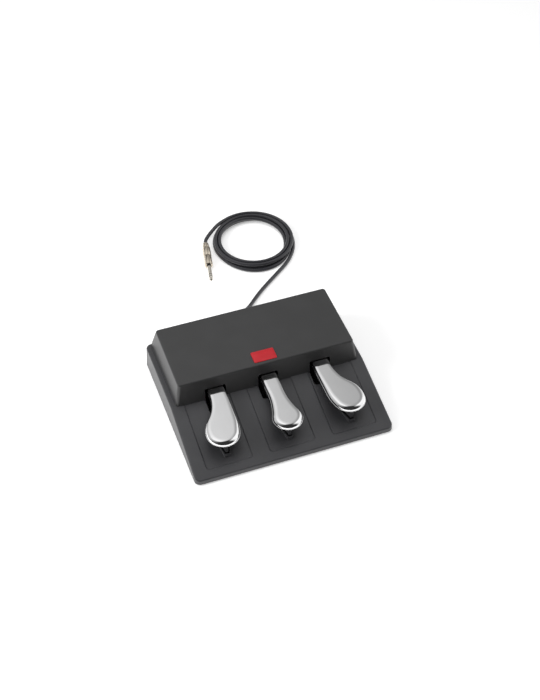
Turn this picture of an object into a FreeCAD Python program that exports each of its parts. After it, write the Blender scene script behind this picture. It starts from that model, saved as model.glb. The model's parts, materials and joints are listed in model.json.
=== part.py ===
import FreeCAD, Part
import math
import os

# Triple pedal unit: three sprung, chrome-capped pedals in a low moulded housing,
# each turning a rotary sensor through a sector gear, with a lead and a jack plug.
# Millimetres. Origin on the floor under the middle of the housing, +X to the
# right, +Y to the back, +Z up. The player's foot comes from -Y.

V = FreeCAD.Vector

# How far a cutting shape runs past what it cuts
PAST = 10.0

# Lengths closer than this count as equal
SAME = 0.01

# Housing
FOOT_HEIGHT = 1.5
FOOT_RADIUS = 9.0
BASE_WIDTH = 300.0
BASE_DEPTH = 253.4
BASE_CORNER = 9.0
DECK_WIDTH = 296.6
DECK_DEPTH = 250.0
DECK_CORNER = 8.5
DECK_WALL = 3.0
DECK_EDGE_FILLET = 2.0
LEDGE_Z = 37.3
FRONT_LIP_Z = 9.3
SLOPE_START_Y = -8.8
LEDGE_INNER = 6.5
PLATE_THICKNESS = 1.5
PLATE_GAP = 0.4

# Hood
HOOD_BOTTOM_HALF = 140.5
HOOD_FRONT_BOTTOM = SLOPE_START_Y
HOOD_BACK_BOTTOM = 124.4
HOOD_TOP_HALF = 134.2
HOOD_FRONT_TOP = -3.0
HOOD_BACK_TOP = 112.0
HOOD_FRONT_Z = 73.3
HOOD_BACK_Z = 76.3
HOOD_WALL = 2.6
HOOD_CORNER = 4.5
HOOD_EDGE_FILLET = 2.5
HOOD_SLOT_TOP = 55.6
HOOD_SLOT_CORNER = 2.0
HOOD_SLOT_SIDE = 3.0
HOOD_OPENING_FRONT = 4.8
HOOD_OPENING_BACK = 10.5
HOOD_OPENING_CORNER = 5.0

# Recessed panels of the deck
PANEL_PITCH = 94.7
PANEL_WIDTH = 69.5
PANEL_FRONT_Y = -113.1
PANEL_DEPTH = 1.2
PANEL_CORNER = 5.0

# Slots of the deck, one round each keel, wide at the hood and with a raised collar at the tip
KEEL_SLOT_HALF = 16.4
KEEL_SLOT_BACK_Y = 2.0
KEEL_SLOT_STEP_Y = -31.0
KEEL_SLOT_CORNER = 4.0
KEEL_GAP = 1.2
COLLAR_WALL = 1.5
COLLAR_TOP = 19.6
COLLAR_BACK_Y = -75.0
COLLAR_DEPTH = 2.0
COLLAR_CORNER = 1.2

# Pedals: plan outlines, measured from the middle of each neck
NECK_PITCH = 80.5
CENTRE_NECK_HALF = 12.2
CENTRE_FLARE_Y = -38.0
CENTRE_TIP_Y = -87.5
CENTRE_TIP_RADIUS = 22.0
SIDE_NECK_HALF = 12.8
SIDE_TIP_X = 14.5
SIDE_TIP_Y = -84.0
SIDE_TIP_RADIUS = 24.0
SIDE_INNER_BEND_Y = -66.0
SIDE_OUTER_ARC = 43.0
SIDE_FLARE_ARC = 60.0
CAP_BACK_Y = 8.0
CAP_REF_Y = -8.0
CAP_REF_Z = 54.0
CAP_TILT = 1.5
CAP_HEIGHT = 7.2
CAP_ROOF = 2.8
CAP_WALL = 2.2
CAP_LIP = 0.5
CAP_LIP_HEIGHT = 1.0
CAP_NECK_FILLET = 2.0
CAP_TIP_FILLET = 6.0
CAP_FILLET_START_Y = -30.0
CAP_FILLET_FULL_Y = -84.0
CAP_FIT = 0.2

# Lever under each cap
KEEL_TIP_HALF = 1.9
KEEL_TIP_Y = -98.8
KEEL_TIP_Z = 21.0
KEEL_SIDE_TIP_X = 14.0
KEEL_SHOULDER_HALF = 6.6
KEEL_SHOULDER_Y = -78.5
KEEL_SHOULDER_CORNER = 10.0
KEEL_SIDE_SHOULDER_X = 12.5
KEEL_STRAIGHT_Y = -22.0
LEVER_HALF = 8.0
LEVER_UNDER_Z = 30.0
LEVER_TOP_Z = 47.0
LEVER_BACK_Y = 42.0
TAIL_TOP_Z = 44.0
TAIL_BACK_Y = 68.0
TAIL_FACE_X = -2.0
BOSS_RADIUS = 9.0
BOSS_HALF = 13.5
BAR_CORNER = 4.0
TAIL_CORNER = 2.0

# Pivot
PIVOT_Y = 35.0
PIVOT_Z = 40.0
PIN_RADIUS = 3.0
PIN_HALF = 18.6
PEDAL_TRAVEL = 6.0
BUSH_RADIUS = 4.5
BUSH_RUNNING_GAP = 0.03
BUSH_FLANGE_RADIUS = 6.5
BUSH_FLANGE = 1.2
BUSH_LENGTH = 8.0
CLIP_THICKNESS = 0.8
CLIP_GAP = 0.1
CLIP_RADIUS = 5.2
CLIP_GROOVE_RADIUS = 2.5

# Bracket
SHEET = 1.5
BRACKET_HALF = 16.5
BRACKET_FRONT_Y = -3.0
BRACKET_BACK_Y = 96.0
EAR_HALF_LENGTH = 10.0
EAR_TOP_GAP = 10.0
SENSOR_EAR_X = 9.0
SENSOR_EAR_FRONT_Y = 56.0
SENSOR_EAR_TOP_Z = 55.0
SHELF_DEPTH = 12.0
SHELF_HALF = 9.0
REST_PAD_HEIGHT = 2.2
REST_PAD_INSET = 3.0
REST_GAP = 0.3
STOP_PAD_RADIUS = 5.0
STOP_PAD_BEHIND = 1.5

# Gears and rotary sensor
GEAR_MODULE = 1.0
SECTOR_TEETH = 80
PINION_TEETH = 16
GEAR_ADDENDUM = 0.8
GEAR_DEDENDUM = 1.0
GEAR_BACKLASH = 0.25
PRESSURE_ANGLE = 20.0
SECTOR_THICKNESS = 4.0
SECTOR_INNER_RADIUS = 16.0
GEAR_SCREW_SPACE = 1.0
GEAR_SCREW_DROP = 1.0
SECTOR_LOWER_TEETH = 3
SECTOR_UPPER_TEETH = 2
PINION_WIDTH = 6.0
SHAFT_RADIUS = 3.0
SHAFT_RUNNING_GAP = 0.05
SENSOR_RADIUS = 12.0
SENSOR_LENGTH = 10.5
SHAFT_INTO_SENSOR = 2.0
SENSOR_BUSH_RADIUS = 4.2
SENSOR_BUSH_LENGTH = 5.0
NUT_ACROSS = 11.0
NUT_THICKNESS = 1.8
TERMINAL_WIDTH = 9.0
TERMINAL_FRONT = 2.0
TERMINAL_BACK = 1.5
TERMINAL_DROP = 4.0

# Return spring
SPRING_Y = 9.0
SPRING_RADIUS = 6.2
SPRING_WIRE = 1.8
SPRING_TURNS = 8
SPRING_GAP = 0.3
SEAT_RADIUS = 8.6
SEAT_HEIGHT = 2.0
SEAT_POST_RADIUS = 3.4
SEAT_POST_HEIGHT = 6.0
SPIGOT_RADIUS = 3.6
SPIGOT_LENGTH = 3.0

# Fasteners
SCREW_RADIUS = 1.5
SCREW_HEAD_RADIUS = 3.2
SCREW_HEAD_HEIGHT = 1.2
CAP_SCREW_HEAD = 2.2
BOSS_OUTER = 4.3
HOOD_BOSS_OUTER = 4.6
SCREW_BITE = 7.0
SHORT_BITE = 5.0

# Circuit board
BOARD_X = 24.0
BOARD_FRONT_Y = 50.0
BOARD_LENGTH = 54.0
BOARD_WIDTH = 36.0
BOARD_THICKNESS = 1.6
BOARD_CORNER_INSET = 4.0
STANDOFF_HEIGHT = 8.0
STANDOFF_RADIUS = 3.0
CONNECTOR_LENGTH = 9.0
CONNECTOR_DEPTH = 6.0
CONNECTOR_HEIGHT = 6.0
CONNECTOR_INSET = 0.5
LEAD_RADIUS = 1.6
PACKAGES = ((0.0, 23.0, 10.0, 10.0, 1.8), (-6.0, 10.5, 4.0, 5.0, 1.5), (5.0, 10.5, 4.0, 5.0, 1.5))
CAPACITORS = ((-5.0, 34.0), (5.0, 34.0))
CAPACITOR_RADIUS = 2.5
CAPACITOR_HEIGHT = 6.0
LEFT_SOCKETS = (83.0, 92.6)
RIGHT_SOCKET = 88.0
CORD_SOCKET_X = 36.0

# Badge
BADGE_X = 0.2
BADGE_Y = 12.9
BADGE_WIDTH = 34.8
BADGE_DEPTH = 20.7
BADGE_CORNER = 2.0
BADGE_HEIGHT = 1.8
BADGE_POCKET = 0.8
BADGE_GAP = 0.2

# Cord and plug
CORD_RADIUS = 3.0
CORD_EXIT_X = 25.0
CORD_EXIT_Z = 16.0
RELIEF_LENGTH = 20.5
RELIEF_ROOT_RADIUS = 5.6
RELIEF_TIP_RADIUS = 4.0
RELIEF_FLANGE_RADIUS = 7.6
RELIEF_FLANGE = 2.2
RELIEF_INSIDE = 6.5
RELIEF_FIT = 0.2
COIL_X = 93.1
COIL_Y = 324.9
COIL_OUTER_RADIUS = 68.4
COIL_PITCH = 6.6
COIL_LAYER = 6.5
COIL_START_ANGLE = -52.0
COIL_END_ANGLE = 122.0
COIL_BULGE = 8.0
COIL_BULGE_ANGLE = -92.0
COIL_BULGE_SPAN = 78.0
COIL_WHOLE_TURNS = 4
PLUG_REAR = V(16.3, 342.6, 6.5)
PLUG_HEADING = V(-0.204, -0.979, 0.0)
PLUG_BARREL_RADIUS = 6.5
PLUG_BARREL_LENGTH = 53.0
PLUG_CONE_LENGTH = 12.0
PLUG_CONE_FRONT = 6.0
PLUG_CONE_REAR = 5.0
PLUG_CONE_CHAMFER = 0.6
PLUG_BARREL_CHAMFER = 0.5
PLUG_COLLAR_RADIUS = 4.6
PLUG_COLLAR = 1.6
PLUG_SHAFT_RADIUS = 3.175
PLUG_SHAFT_LENGTH = 36.0
PLUG_RING_BAND = 0.9
PLUG_RING_LENGTH = 4.2
PLUG_TIP_LENGTH = 8.6
PLUG_TIP_NECK_RADIUS = 2.3

# Values worked out from the sizes above
PLATE_TOP = FOOT_HEIGHT + PLATE_THICKNESS
BRACKET_TOP = PLATE_TOP + SHEET
DECK_SLOPE = (LEDGE_Z - FRONT_LIP_Z) / (DECK_DEPTH / 2 + SLOPE_START_Y)
SECTOR_PITCH_RADIUS = GEAR_MODULE * SECTOR_TEETH / 2
PINION_PITCH_RADIUS = GEAR_MODULE * PINION_TEETH / 2
SENSOR_Y = PIVOT_Y + SECTOR_PITCH_RADIUS + PINION_PITCH_RADIUS
PEDALS = (("left", -1), ("centre", 0), ("right", 1))
BRACKET_SCREWS = ((-10.0, 21.0), (10.0, 21.0), (-10.0, 51.5), (-10.0, 88.0))
PLATE_SCREWS = ((-138.0, -114.0), (-47.3, -114.0), (47.3, -114.0), (138.0, -114.0),
                (-140.0, -40.0), (140.0, -40.0), (-140.0, 60.0), (140.0, 60.0),
                (-47.3, 118.5), (70.0, 118.5))
HOOD_SCREWS = ((-118.0, 20.0), (-40.0, 20.0), (40.0, 20.0), (118.0, 20.0),
               (-118.0, 98.0), (-38.0, 84.0), (118.0, 98.0))
FEET = ((-118.0, -92.0), (0.0, -100.0), (118.0, -92.0), (-118.0, 112.0), (0.0, 108.0), (118.0, 112.0))


# Shared solids

def box(x0, x1, y0, y1, z0, z1):
    return Part.makeBox(x1 - x0, y1 - y0, z1 - z0, V(x0, y0, z0))


def rod(start, axis, radius, length):
    return Part.makeCylinder(radius, length, start, axis)


def cut_all(shape, tools):
    return shape.cut(Part.makeCompound(tools))


def fuse_all(shapes):
    first = shapes[0].multiFuse(shapes[1:])
    return first.removeSplitter()


def rounded_wire(corners, place):
    """Closed wire of straight runs and corner arcs; corners are (a, b, radius)."""
    edges = []
    count = len(corners)
    starts = []
    for index in range(count):
        a, b, radius = corners[index]
        corner = V(a, b, 0)
        before = V(*corners[index - 1][:2], 0) - corner
        after = V(*corners[(index + 1) % count][:2], 0) - corner
        before.normalize()
        after.normalize()
        half = before.getAngle(after) / 2
        reach = radius / math.tan(half)
        middle = before + after
        if radius > 0:
            middle.normalize()
            bulge = corner + middle * (radius / math.sin(half) - radius)
        else:
            bulge = corner
        starts.append((corner + before * reach, bulge, corner + after * reach, radius))
    for index in range(count):
        first, bulge, last, radius = starts[index]
        following = starts[(index + 1) % count][0]
        if radius > 0:
            edges.append(Part.Arc(place(first), place(bulge), place(last)).toShape())
        if (following - last).Length > 1e-6:
            edges.append(Part.makeLine(place(last), place(following)))
    return Part.Wire(edges)


def flat(z):
    return lambda point: V(point.x, point.y, z)


def upright_yz(x):
    return lambda point: V(x, point.x, point.y)


def upright_xz(y):
    return lambda point: V(point.x, y, point.y)


def plan_wire(x0, x1, y0, y1, radius, z):
    return rounded_wire([(x0, y0, radius), (x1, y0, radius), (x1, y1, radius), (x0, y1, radius)], flat(z))


def prism(corners, place, direction):
    return Part.Face(rounded_wire(corners, place)).extrude(direction)


def side_prism(profile, x0, x1):
    """Solid of a (y, z, radius) profile between two X planes."""
    return prism(profile, upright_yz(x0), V(x1 - x0, 0, 0))


def loft(wires):
    return Part.makeLoft(wires, True, True)


def ring(start, axis, outer, inner, length):
    return rod(start, axis, outer, length).cut(rod(start, axis, inner, length))


def edges_where(shape, test):
    return [edge for edge in shape.Edges if test(edge)]


def mirror_side(shape, side):
    """Side pedals share one shape; the left one is its mirror image."""
    if side < 0:
        return shape.mirror(V(0, 0, 0), V(1, 0, 0))
    return shape


def moved(shape, x):
    return shape.translated(V(x, 0, 0))


def deck_z(y):
    return LEDGE_Z - DECK_SLOPE * (SLOPE_START_Y - y)


def cap_plane_z(y, depth):
    """Height of the plane that lies depth below the top of the caps."""
    tilt = math.radians(CAP_TILT)
    return CAP_REF_Z + (y - CAP_REF_Y) * math.tan(tilt) - depth / math.cos(tilt)


def tilted(shape):
    """Turns a shape drawn level under the cap's top into the caps' slope."""
    turned = shape.copy()
    turned.rotate(V(0, CAP_REF_Y, CAP_REF_Z), V(1, 0, 0), CAP_TILT)
    return turned


# Round tubes along routes of straight runs and tangent arcs

def tube(name, points, radius):
    """Sweeps a round section; each arc is as large as its two runs allow."""
    edges = []
    last = points[0]
    smallest = None
    for index in range(1, len(points) - 1):
        corner = points[index]
        before = points[index - 1] - corner
        after = points[index + 1] - corner
        turn = math.pi - before.getAngle(after)
        reach = 0.45 * min(before.Length, after.Length)
        bend = reach / math.tan(turn / 2)
        smallest = bend if smallest is None else min(smallest, bend)
        before.normalize()
        after.normalize()
        start = corner + before * reach
        end = corner + after * reach
        middle = before + after
        middle.normalize()
        bulge = corner + middle * (bend / math.cos(turn / 2) - bend)
        edges.append(Part.LineSegment(last, start).toShape())
        edges.append(Part.Arc(start, bulge, end).toShape())
        last = end
    edges.append(Part.LineSegment(last, points[-1]).toShape())
    path = Part.Wire(edges)
    heading = points[1] - points[0]
    section = Part.Wire(Part.Circle(points[0], heading, radius).toShape())
    solid = path.makePipeShell([section], True, False)
    expected = math.pi * radius ** 2 * path.Length
    print(name, "length %.1f" % path.Length, "smallest radius %.1f" % (smallest or 0),
          "volume ratio %.4f" % (solid.Volume / expected))
    return solid


def biarc(start, start_heading, end, end_heading):
    """Two tangent arcs between two points with given headings."""
    chord = end - start
    both = start_heading + end_heading
    spread = 2 * (1 - start_heading.dot(end_heading))
    across = chord.dot(both)
    reach = (-across + math.sqrt(across ** 2 + spread * chord.dot(chord))) / spread
    control_a = start + start_heading * reach
    control_b = end - end_heading * reach
    joint = (control_a + control_b) * 0.5
    heading = control_b - control_a
    heading.normalize()
    return [arc_between(start, control_a, joint), arc_between(joint, control_b, end)]


def arc_between(start, control, end):
    """Arc tangent to start-control and control-end, which are equally long."""
    first = control - start
    second = end - control
    weight = math.cos(first.getAngle(second) / 2)
    middle = (start + control * (2 * weight) + end) * (1 / (2 * (1 + weight)))
    return Part.Arc(start, middle, end).toShape()


def wound_tube(name, point_at, first, last, steps, radius):
    """Unbroken wound tube whose ends run straight for one diameter."""
    def heading_at(value):
        step = 1e-4
        heading = point_at(value + step) - point_at(value - step)
        heading.normalize()
        return heading

    values = [first + (last - first) * index / steps for index in range(steps + 1)]
    start = point_at(first) - heading_at(first) * (2 * radius)
    end = point_at(last) + heading_at(last) * (2 * radius)
    edges = [Part.LineSegment(start, point_at(first)).toShape()]
    for index in range(steps):
        a = values[index]
        b = values[index + 1]
        edges += biarc(point_at(a), heading_at(a), point_at(b), heading_at(b))
    edges.append(Part.LineSegment(point_at(last), end).toShape())
    path = Part.Wire(edges)
    section = Part.Wire(Part.Circle(start, heading_at(first), radius).toShape())
    solid = path.makePipeShell([section], True, False)
    print(name, "length %.1f" % path.Length,
          "volume ratio %.4f" % (solid.Volume / (math.pi * radius ** 2 * path.Length)),
          "least gap to itself %.2f" % self_gap(point_at, first, last, radius))
    return solid, start, heading_at(first), end, heading_at(last)


def self_gap(point_at, first, last, radius):
    """Least gap between turns, on points, leaving out a third of a turn beside each."""
    count = int((last - first) / 0.06)
    points = [point_at(first + (last - first) * index / count) for index in range(count + 1)]
    skip = int(2.1 / 0.06)
    least = 1e9
    for index in range(count + 1):
        for other in range(index + skip, count + 1):
            least = min(least, (points[index] - points[other]).Length)
    return least - 2 * radius


# Housing

def deck_outer():
    """Deck's outside: a tapered block with rounded edges on its level and its sloping top."""
    half_x, half_y = BASE_WIDTH / 2, BASE_DEPTH / 2
    top_x, top_y = DECK_WIDTH / 2, DECK_DEPTH / 2
    block = loft([plan_wire(-half_x, half_x, -half_y, half_y, BASE_CORNER, FOOT_HEIGHT),
                  plan_wire(-top_x, top_x, -top_y, top_y, DECK_CORNER, LEDGE_Z)])
    rim = edges_where(block, lambda edge: all(abs(v.Z - LEDGE_Z) < SAME for v in edge.Vertexes))
    level = block.makeFillet(DECK_EDGE_FILLET, rim)
    front = -BASE_DEPTH
    wedge = side_prism([(SLOPE_START_Y, LEDGE_Z, 0), (front, deck_z(front), 0), (front, 2 * LEDGE_Z, 0),
                        (SLOPE_START_Y, 2 * LEDGE_Z, 0)], -BASE_WIDTH, BASE_WIDTH)
    sloping = block.cut(wedge)

    def on_slope_rim(edge):
        crease = abs(edge.CenterOfMass.x) < 1.0 and abs(edge.CenterOfMass.y - SLOPE_START_Y) < SAME
        return all(abs(v.Z - deck_z(v.Y)) < SAME for v in edge.Vertexes) and not crease

    sloping = sloping.makeFillet(DECK_EDGE_FILLET, edges_where(sloping, on_slope_rim))
    return sloping.common(level)


def deck_inner():
    """Space inside the deck, open downwards."""
    half_x = BASE_WIDTH / 2 - DECK_WALL
    half_y = BASE_DEPTH / 2 - DECK_WALL
    top_x = DECK_WIDTH / 2 - DECK_WALL
    top_y = DECK_DEPTH / 2 - DECK_WALL
    corner = BASE_CORNER - DECK_WALL
    space = loft([plan_wire(-half_x, half_x, -half_y, half_y, corner, FOOT_HEIGHT),
                  plan_wire(-top_x, top_x, -top_y, top_y, DECK_CORNER - DECK_WALL, LEDGE_Z)])
    below = box(-half_x, half_x, -half_y, half_y, FOOT_HEIGHT - PAST, FOOT_HEIGHT)
    front = -BASE_DEPTH
    drop = DECK_WALL / math.cos(math.atan(DECK_SLOPE))
    wedge = side_prism([(BASE_DEPTH, LEDGE_Z - DECK_WALL, 0), (SLOPE_START_Y, LEDGE_Z - DECK_WALL, 0),
                        (front, deck_z(front) - drop, 0), (front, 2 * LEDGE_Z, 0),
                        (BASE_DEPTH, 2 * LEDGE_Z, 0)], -BASE_WIDTH, BASE_WIDTH)
    return space.cut(wedge).fuse(below)


def panel_recess(x):
    length = (SLOPE_START_Y - PANEL_FRONT_Y) * math.sqrt(1 + DECK_SLOPE ** 2)
    half = PANEL_WIDTH / 2
    past = 3 * PANEL_CORNER
    wires = []
    for height in (-PANEL_DEPTH, PANEL_DEPTH):
        wires.append(plan_wire(x - half - height, x + half + height, SLOPE_START_Y - length - height,
                               SLOPE_START_Y + past, PANEL_CORNER, LEDGE_Z + height))
    tool = loft(wires)
    tool.rotate(V(0, SLOPE_START_Y, LEDGE_Z), V(1, 0, 0), math.degrees(math.atan(DECK_SLOPE)))
    keep = box(x - PANEL_WIDTH, x + PANEL_WIDTH, -BASE_DEPTH, SLOPE_START_Y, 0, 2 * LEDGE_Z)
    return tool.common(keep)


def neck_half(side):
    return SIDE_NECK_HALF if side else CENTRE_NECK_HALF


def deck_slot(side):
    """Opening in the deck that one lever's keel moves in."""
    half = KEEL_SLOT_HALF
    corners = [(-half, KEEL_SLOT_BACK_Y, 0), (-half, KEEL_SLOT_STEP_Y, KEEL_SLOT_CORNER),
               (half, KEEL_SLOT_STEP_Y, KEEL_SLOT_CORNER), (half, KEEL_SLOT_BACK_Y, 0)]
    rise = V(0, 0, 2 * LEDGE_Z + PAST)
    tool = prism(corners, flat(-PAST), rise).fuse(prism(keel_corners(side, KEEL_GAP), flat(-PAST), rise))
    return moved(mirror_side(tool, side), side * NECK_PITCH)


def slot_collar(side):
    """Level rim round the narrow end of one slot, solid until the slot is cut."""
    column = prism(keel_corners(side, KEEL_GAP + COLLAR_WALL, COLLAR_CORNER), flat(0.0), V(0, 0, LEDGE_Z))
    front = -BASE_DEPTH
    profile = [(front, deck_z(front) - COLLAR_DEPTH, 0),
               (COLLAR_BACK_Y, deck_z(COLLAR_BACK_Y) - COLLAR_DEPTH, 0),
               (COLLAR_BACK_Y, COLLAR_TOP, 0), (front, COLLAR_TOP, 0)]
    collar = column.common(side_prism(profile, -BASE_WIDTH, BASE_WIDTH))
    return moved(mirror_side(collar, side), side * NECK_PITCH)


def deck_shell():
    shell = deck_outer().cut(deck_inner())
    half = HOOD_BOTTOM_HALF - LEDGE_INNER
    near = SLOPE_START_Y + HOOD_OPENING_FRONT
    far = HOOD_BACK_BOTTOM - HOOD_OPENING_BACK
    outline = plan_wire(-half, half, near, far, HOOD_OPENING_CORNER, LEDGE_Z - 3 * DECK_WALL)
    opening = Part.Face(outline).extrude(V(0, 0, 6 * DECK_WALL))
    shell = cut_all(shell, [panel_recess(x) for x in (-PANEL_PITCH, 0.0, PANEL_PITCH)])
    shell = shell.multiFuse([slot_collar(side) for name, side in PEDALS])
    tools = [opening] + [deck_slot(side) for name, side in PEDALS]
    tools.append(rod(V(CORD_EXIT_X, BASE_DEPTH / 2 + PAST, CORD_EXIT_Z), V(0, -1, 0),
                     RELIEF_ROOT_RADIUS + RELIEF_FIT, 2 * PAST))
    shell = cut_all(shell, tools)
    bosses = []
    for x, y in PLATE_SCREWS:
        roof = min(LEDGE_Z, deck_z(y - BOSS_OUTER)) - DECK_WALL / 2
        bosses.append(rod(V(x, y, PLATE_TOP), V(0, 0, 1), BOSS_OUTER, roof - PLATE_TOP))
    shell = shell.multiFuse(bosses)
    holes = [rod(V(x, y, PLATE_TOP), V(0, 0, 1), SCREW_RADIUS, SHORT_BITE) for x, y in PLATE_SCREWS]
    return cut_all(shell, holes)


def hood_section(inset, z):
    """Plan of the hood at one height, drawn in by inset."""
    rise = HOOD_FRONT_Z - LEDGE_Z
    back_rise = HOOD_BACK_Z - LEDGE_Z
    side = HOOD_BOTTOM_HALF + (HOOD_TOP_HALF - HOOD_BOTTOM_HALF) * (z - LEDGE_Z) / rise
    front = HOOD_FRONT_BOTTOM + (HOOD_FRONT_TOP - HOOD_FRONT_BOTTOM) * (z - LEDGE_Z) / rise
    back = HOOD_BACK_BOTTOM + (HOOD_BACK_TOP - HOOD_BACK_BOTTOM) * (z - LEDGE_Z) / back_rise
    corner = HOOD_CORNER - inset
    return plan_wire(-side + inset, side - inset, front + inset, back - inset, corner, z)


def hood_roof_z(y):
    share = (y - HOOD_FRONT_TOP) / (HOOD_BACK_TOP - HOOD_FRONT_TOP)
    return HOOD_FRONT_Z + (HOOD_BACK_Z - HOOD_FRONT_Z) * share


def above_roof(drop):
    """Everything higher than the hood's roof less drop."""
    near = HOOD_FRONT_BOTTOM - PAST
    far = HOOD_BACK_BOTTOM + PAST
    top = 2 * HOOD_BACK_Z
    return side_prism([(near, hood_roof_z(near) - drop, 0), (far, hood_roof_z(far) - drop, 0),
                       (far, top, 0), (near, top, 0)], -BASE_WIDTH, BASE_WIDTH)


def hood_slot(side):
    half = neck_half(side) + HOOD_SLOT_SIDE
    centre = side * NECK_PITCH
    corners = [(centre - half, LEDGE_Z - PAST, 0), (centre + half, LEDGE_Z - PAST, 0),
               (centre + half, HOOD_SLOT_TOP, HOOD_SLOT_CORNER),
               (centre - half, HOOD_SLOT_TOP, HOOD_SLOT_CORNER)]
    return prism(corners, upright_xz(HOOD_FRONT_BOTTOM - PAST), V(0, 2 * PAST, 0))


def hood_shell():
    high = HOOD_BACK_Z + PAST
    outer = loft([hood_section(0, LEDGE_Z), hood_section(0, high)]).cut(above_roof(0))

    def on_top_rim(edge):
        return all(abs(v.Z - hood_roof_z(v.Y)) < SAME for v in edge.Vertexes)

    outer = outer.makeFillet(HOOD_EDGE_FILLET, edges_where(outer, on_top_rim))
    hollow = loft([hood_section(HOOD_WALL, LEDGE_Z - 1), hood_section(HOOD_WALL, high)])
    inner = hollow.cut(above_roof(HOOD_WALL))
    shell = outer.cut(inner)
    shell = cut_all(shell, [hood_slot(side) for name, side in PEDALS] + [badge_pocket()])
    posts = []
    for x, y in HOOD_SCREWS:
        height = hood_roof_z(y) - HOOD_WALL / 2 - PLATE_TOP
        posts.append(rod(V(x, y, PLATE_TOP), V(0, 0, 1), HOOD_BOSS_OUTER, height))
    shell = shell.multiFuse(posts)
    holes = [rod(V(x, y, PLATE_TOP), V(0, 0, 1), SCREW_RADIUS, SCREW_BITE) for x, y in HOOD_SCREWS]
    return cut_all(shell, holes)


def badge_outline(grow, z):
    half_x = BADGE_WIDTH / 2 + grow
    half_y = BADGE_DEPTH / 2 + grow
    return plan_wire(BADGE_X - half_x, BADGE_X + half_x, BADGE_Y - half_y, BADGE_Y + half_y,
                     BADGE_CORNER + grow, z)


def roof_aligned(shape):
    """Turns a shape drawn level at the roof's height over the badge into the roof's slope."""
    tilt = math.degrees(math.atan((HOOD_BACK_Z - HOOD_FRONT_Z) / (HOOD_BACK_TOP - HOOD_FRONT_TOP)))
    turned = shape.copy()
    turned.rotate(V(0, BADGE_Y, hood_roof_z(BADGE_Y)), V(1, 0, 0), tilt)
    return turned


def badge_pocket():
    z = hood_roof_z(BADGE_Y) - BADGE_POCKET
    return roof_aligned(Part.Face(badge_outline(BADGE_GAP, z)).extrude(V(0, 0, BADGE_HEIGHT * 2)))


def badge():
    z = hood_roof_z(BADGE_Y) - BADGE_POCKET
    plate = Part.Face(badge_outline(0, z)).extrude(V(0, 0, BADGE_HEIGHT))
    rim = edges_where(plate, lambda edge: all(abs(v.Z - z - BADGE_HEIGHT) < SAME for v in edge.Vertexes))
    return roof_aligned(plate.makeFillet(BADGE_HEIGHT * 0.45, rim))


def bottom_plate():
    half_x = BASE_WIDTH / 2 - DECK_WALL - PLATE_GAP
    half_y = BASE_DEPTH / 2 - DECK_WALL - PLATE_GAP
    plate = Part.Face(plan_wire(-half_x, half_x, -half_y, half_y, BASE_CORNER - DECK_WALL - PLATE_GAP,
                                FOOT_HEIGHT)).extrude(V(0, 0, PLATE_THICKNESS))
    places = list(PLATE_SCREWS) + list(HOOD_SCREWS)
    places += [(side * NECK_PITCH + x, y) for name, side in PEDALS for x, y in BRACKET_SCREWS]
    holes = [rod(V(x, y, 0), V(0, 0, 1), SCREW_RADIUS, 2 * PLATE_TOP) for x, y in places]
    return cut_all(plate, holes)


def rubber_feet():
    return Part.makeCompound([rod(V(x, y, 0), V(0, 0, 1), FOOT_RADIUS, FOOT_HEIGHT) for x, y in FEET])


def housing_screws():
    screws = []
    for places, bite in ((PLATE_SCREWS, SHORT_BITE), (HOOD_SCREWS, SCREW_BITE)):
        for x, y in places:
            head = rod(V(x, y, FOOT_HEIGHT - SCREW_HEAD_HEIGHT), V(0, 0, 1), SCREW_HEAD_RADIUS,
                       SCREW_HEAD_HEIGHT)
            shank = rod(V(x, y, FOOT_HEIGHT), V(0, 0, 1), SCREW_RADIUS, PLATE_THICKNESS + bite)
            screws.append(head.fuse(shank))
    return Part.makeCompound(screws)


# Pedal caps and levers

def arc_about(centre, start, end, z):
    """Arc of under a half circle about centre, from start to end."""
    middle = (start - centre) + (end - centre)
    middle.normalize()
    bulge = centre + middle * (start - centre).Length
    lift = V(0, 0, z)
    return Part.Arc(start + lift, bulge + lift, end + lift).toShape()


def centre_outline(inset, z):
    half = CENTRE_NECK_HALF
    length = CENTRE_FLARE_Y - CENTRE_TIP_Y
    flare = (half ** 2 + length ** 2 - CENTRE_TIP_RADIUS ** 2) / (2 * (CENTRE_TIP_RADIUS - half))
    tip = V(0, CENTRE_TIP_Y, 0)
    back = CAP_BACK_Y - inset
    front = tip - V(0, CENTRE_TIP_RADIUS - inset, 0)
    edges = []
    corners = {}
    for sign in (1, -1):
        hub = V(sign * (half + flare), CENTRE_FLARE_Y, 0)
        outward = hub - tip
        outward.normalize()
        corners[sign] = (V(sign * (half - inset), back, 0), V(sign * (half - inset), CENTRE_FLARE_Y, 0),
                         tip + outward * (CENTRE_TIP_RADIUS - inset), hub)
    start, bend, touch, hub = corners[1]
    lift = V(0, 0, z)
    edges.append(Part.makeLine(start + lift, bend + lift))
    edges.append(arc_about(hub, bend, touch, z))
    edges.append(arc_about(tip, touch, front, z))
    last, other_bend, other_touch, other_hub = corners[-1]
    edges.append(arc_about(tip, front, other_touch, z))
    edges.append(arc_about(other_hub, other_touch, other_bend, z))
    edges.append(Part.makeLine(other_bend + lift, last + lift))
    edges.append(Part.makeLine(last + lift, start + lift))
    return Part.Wire(edges)


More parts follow.
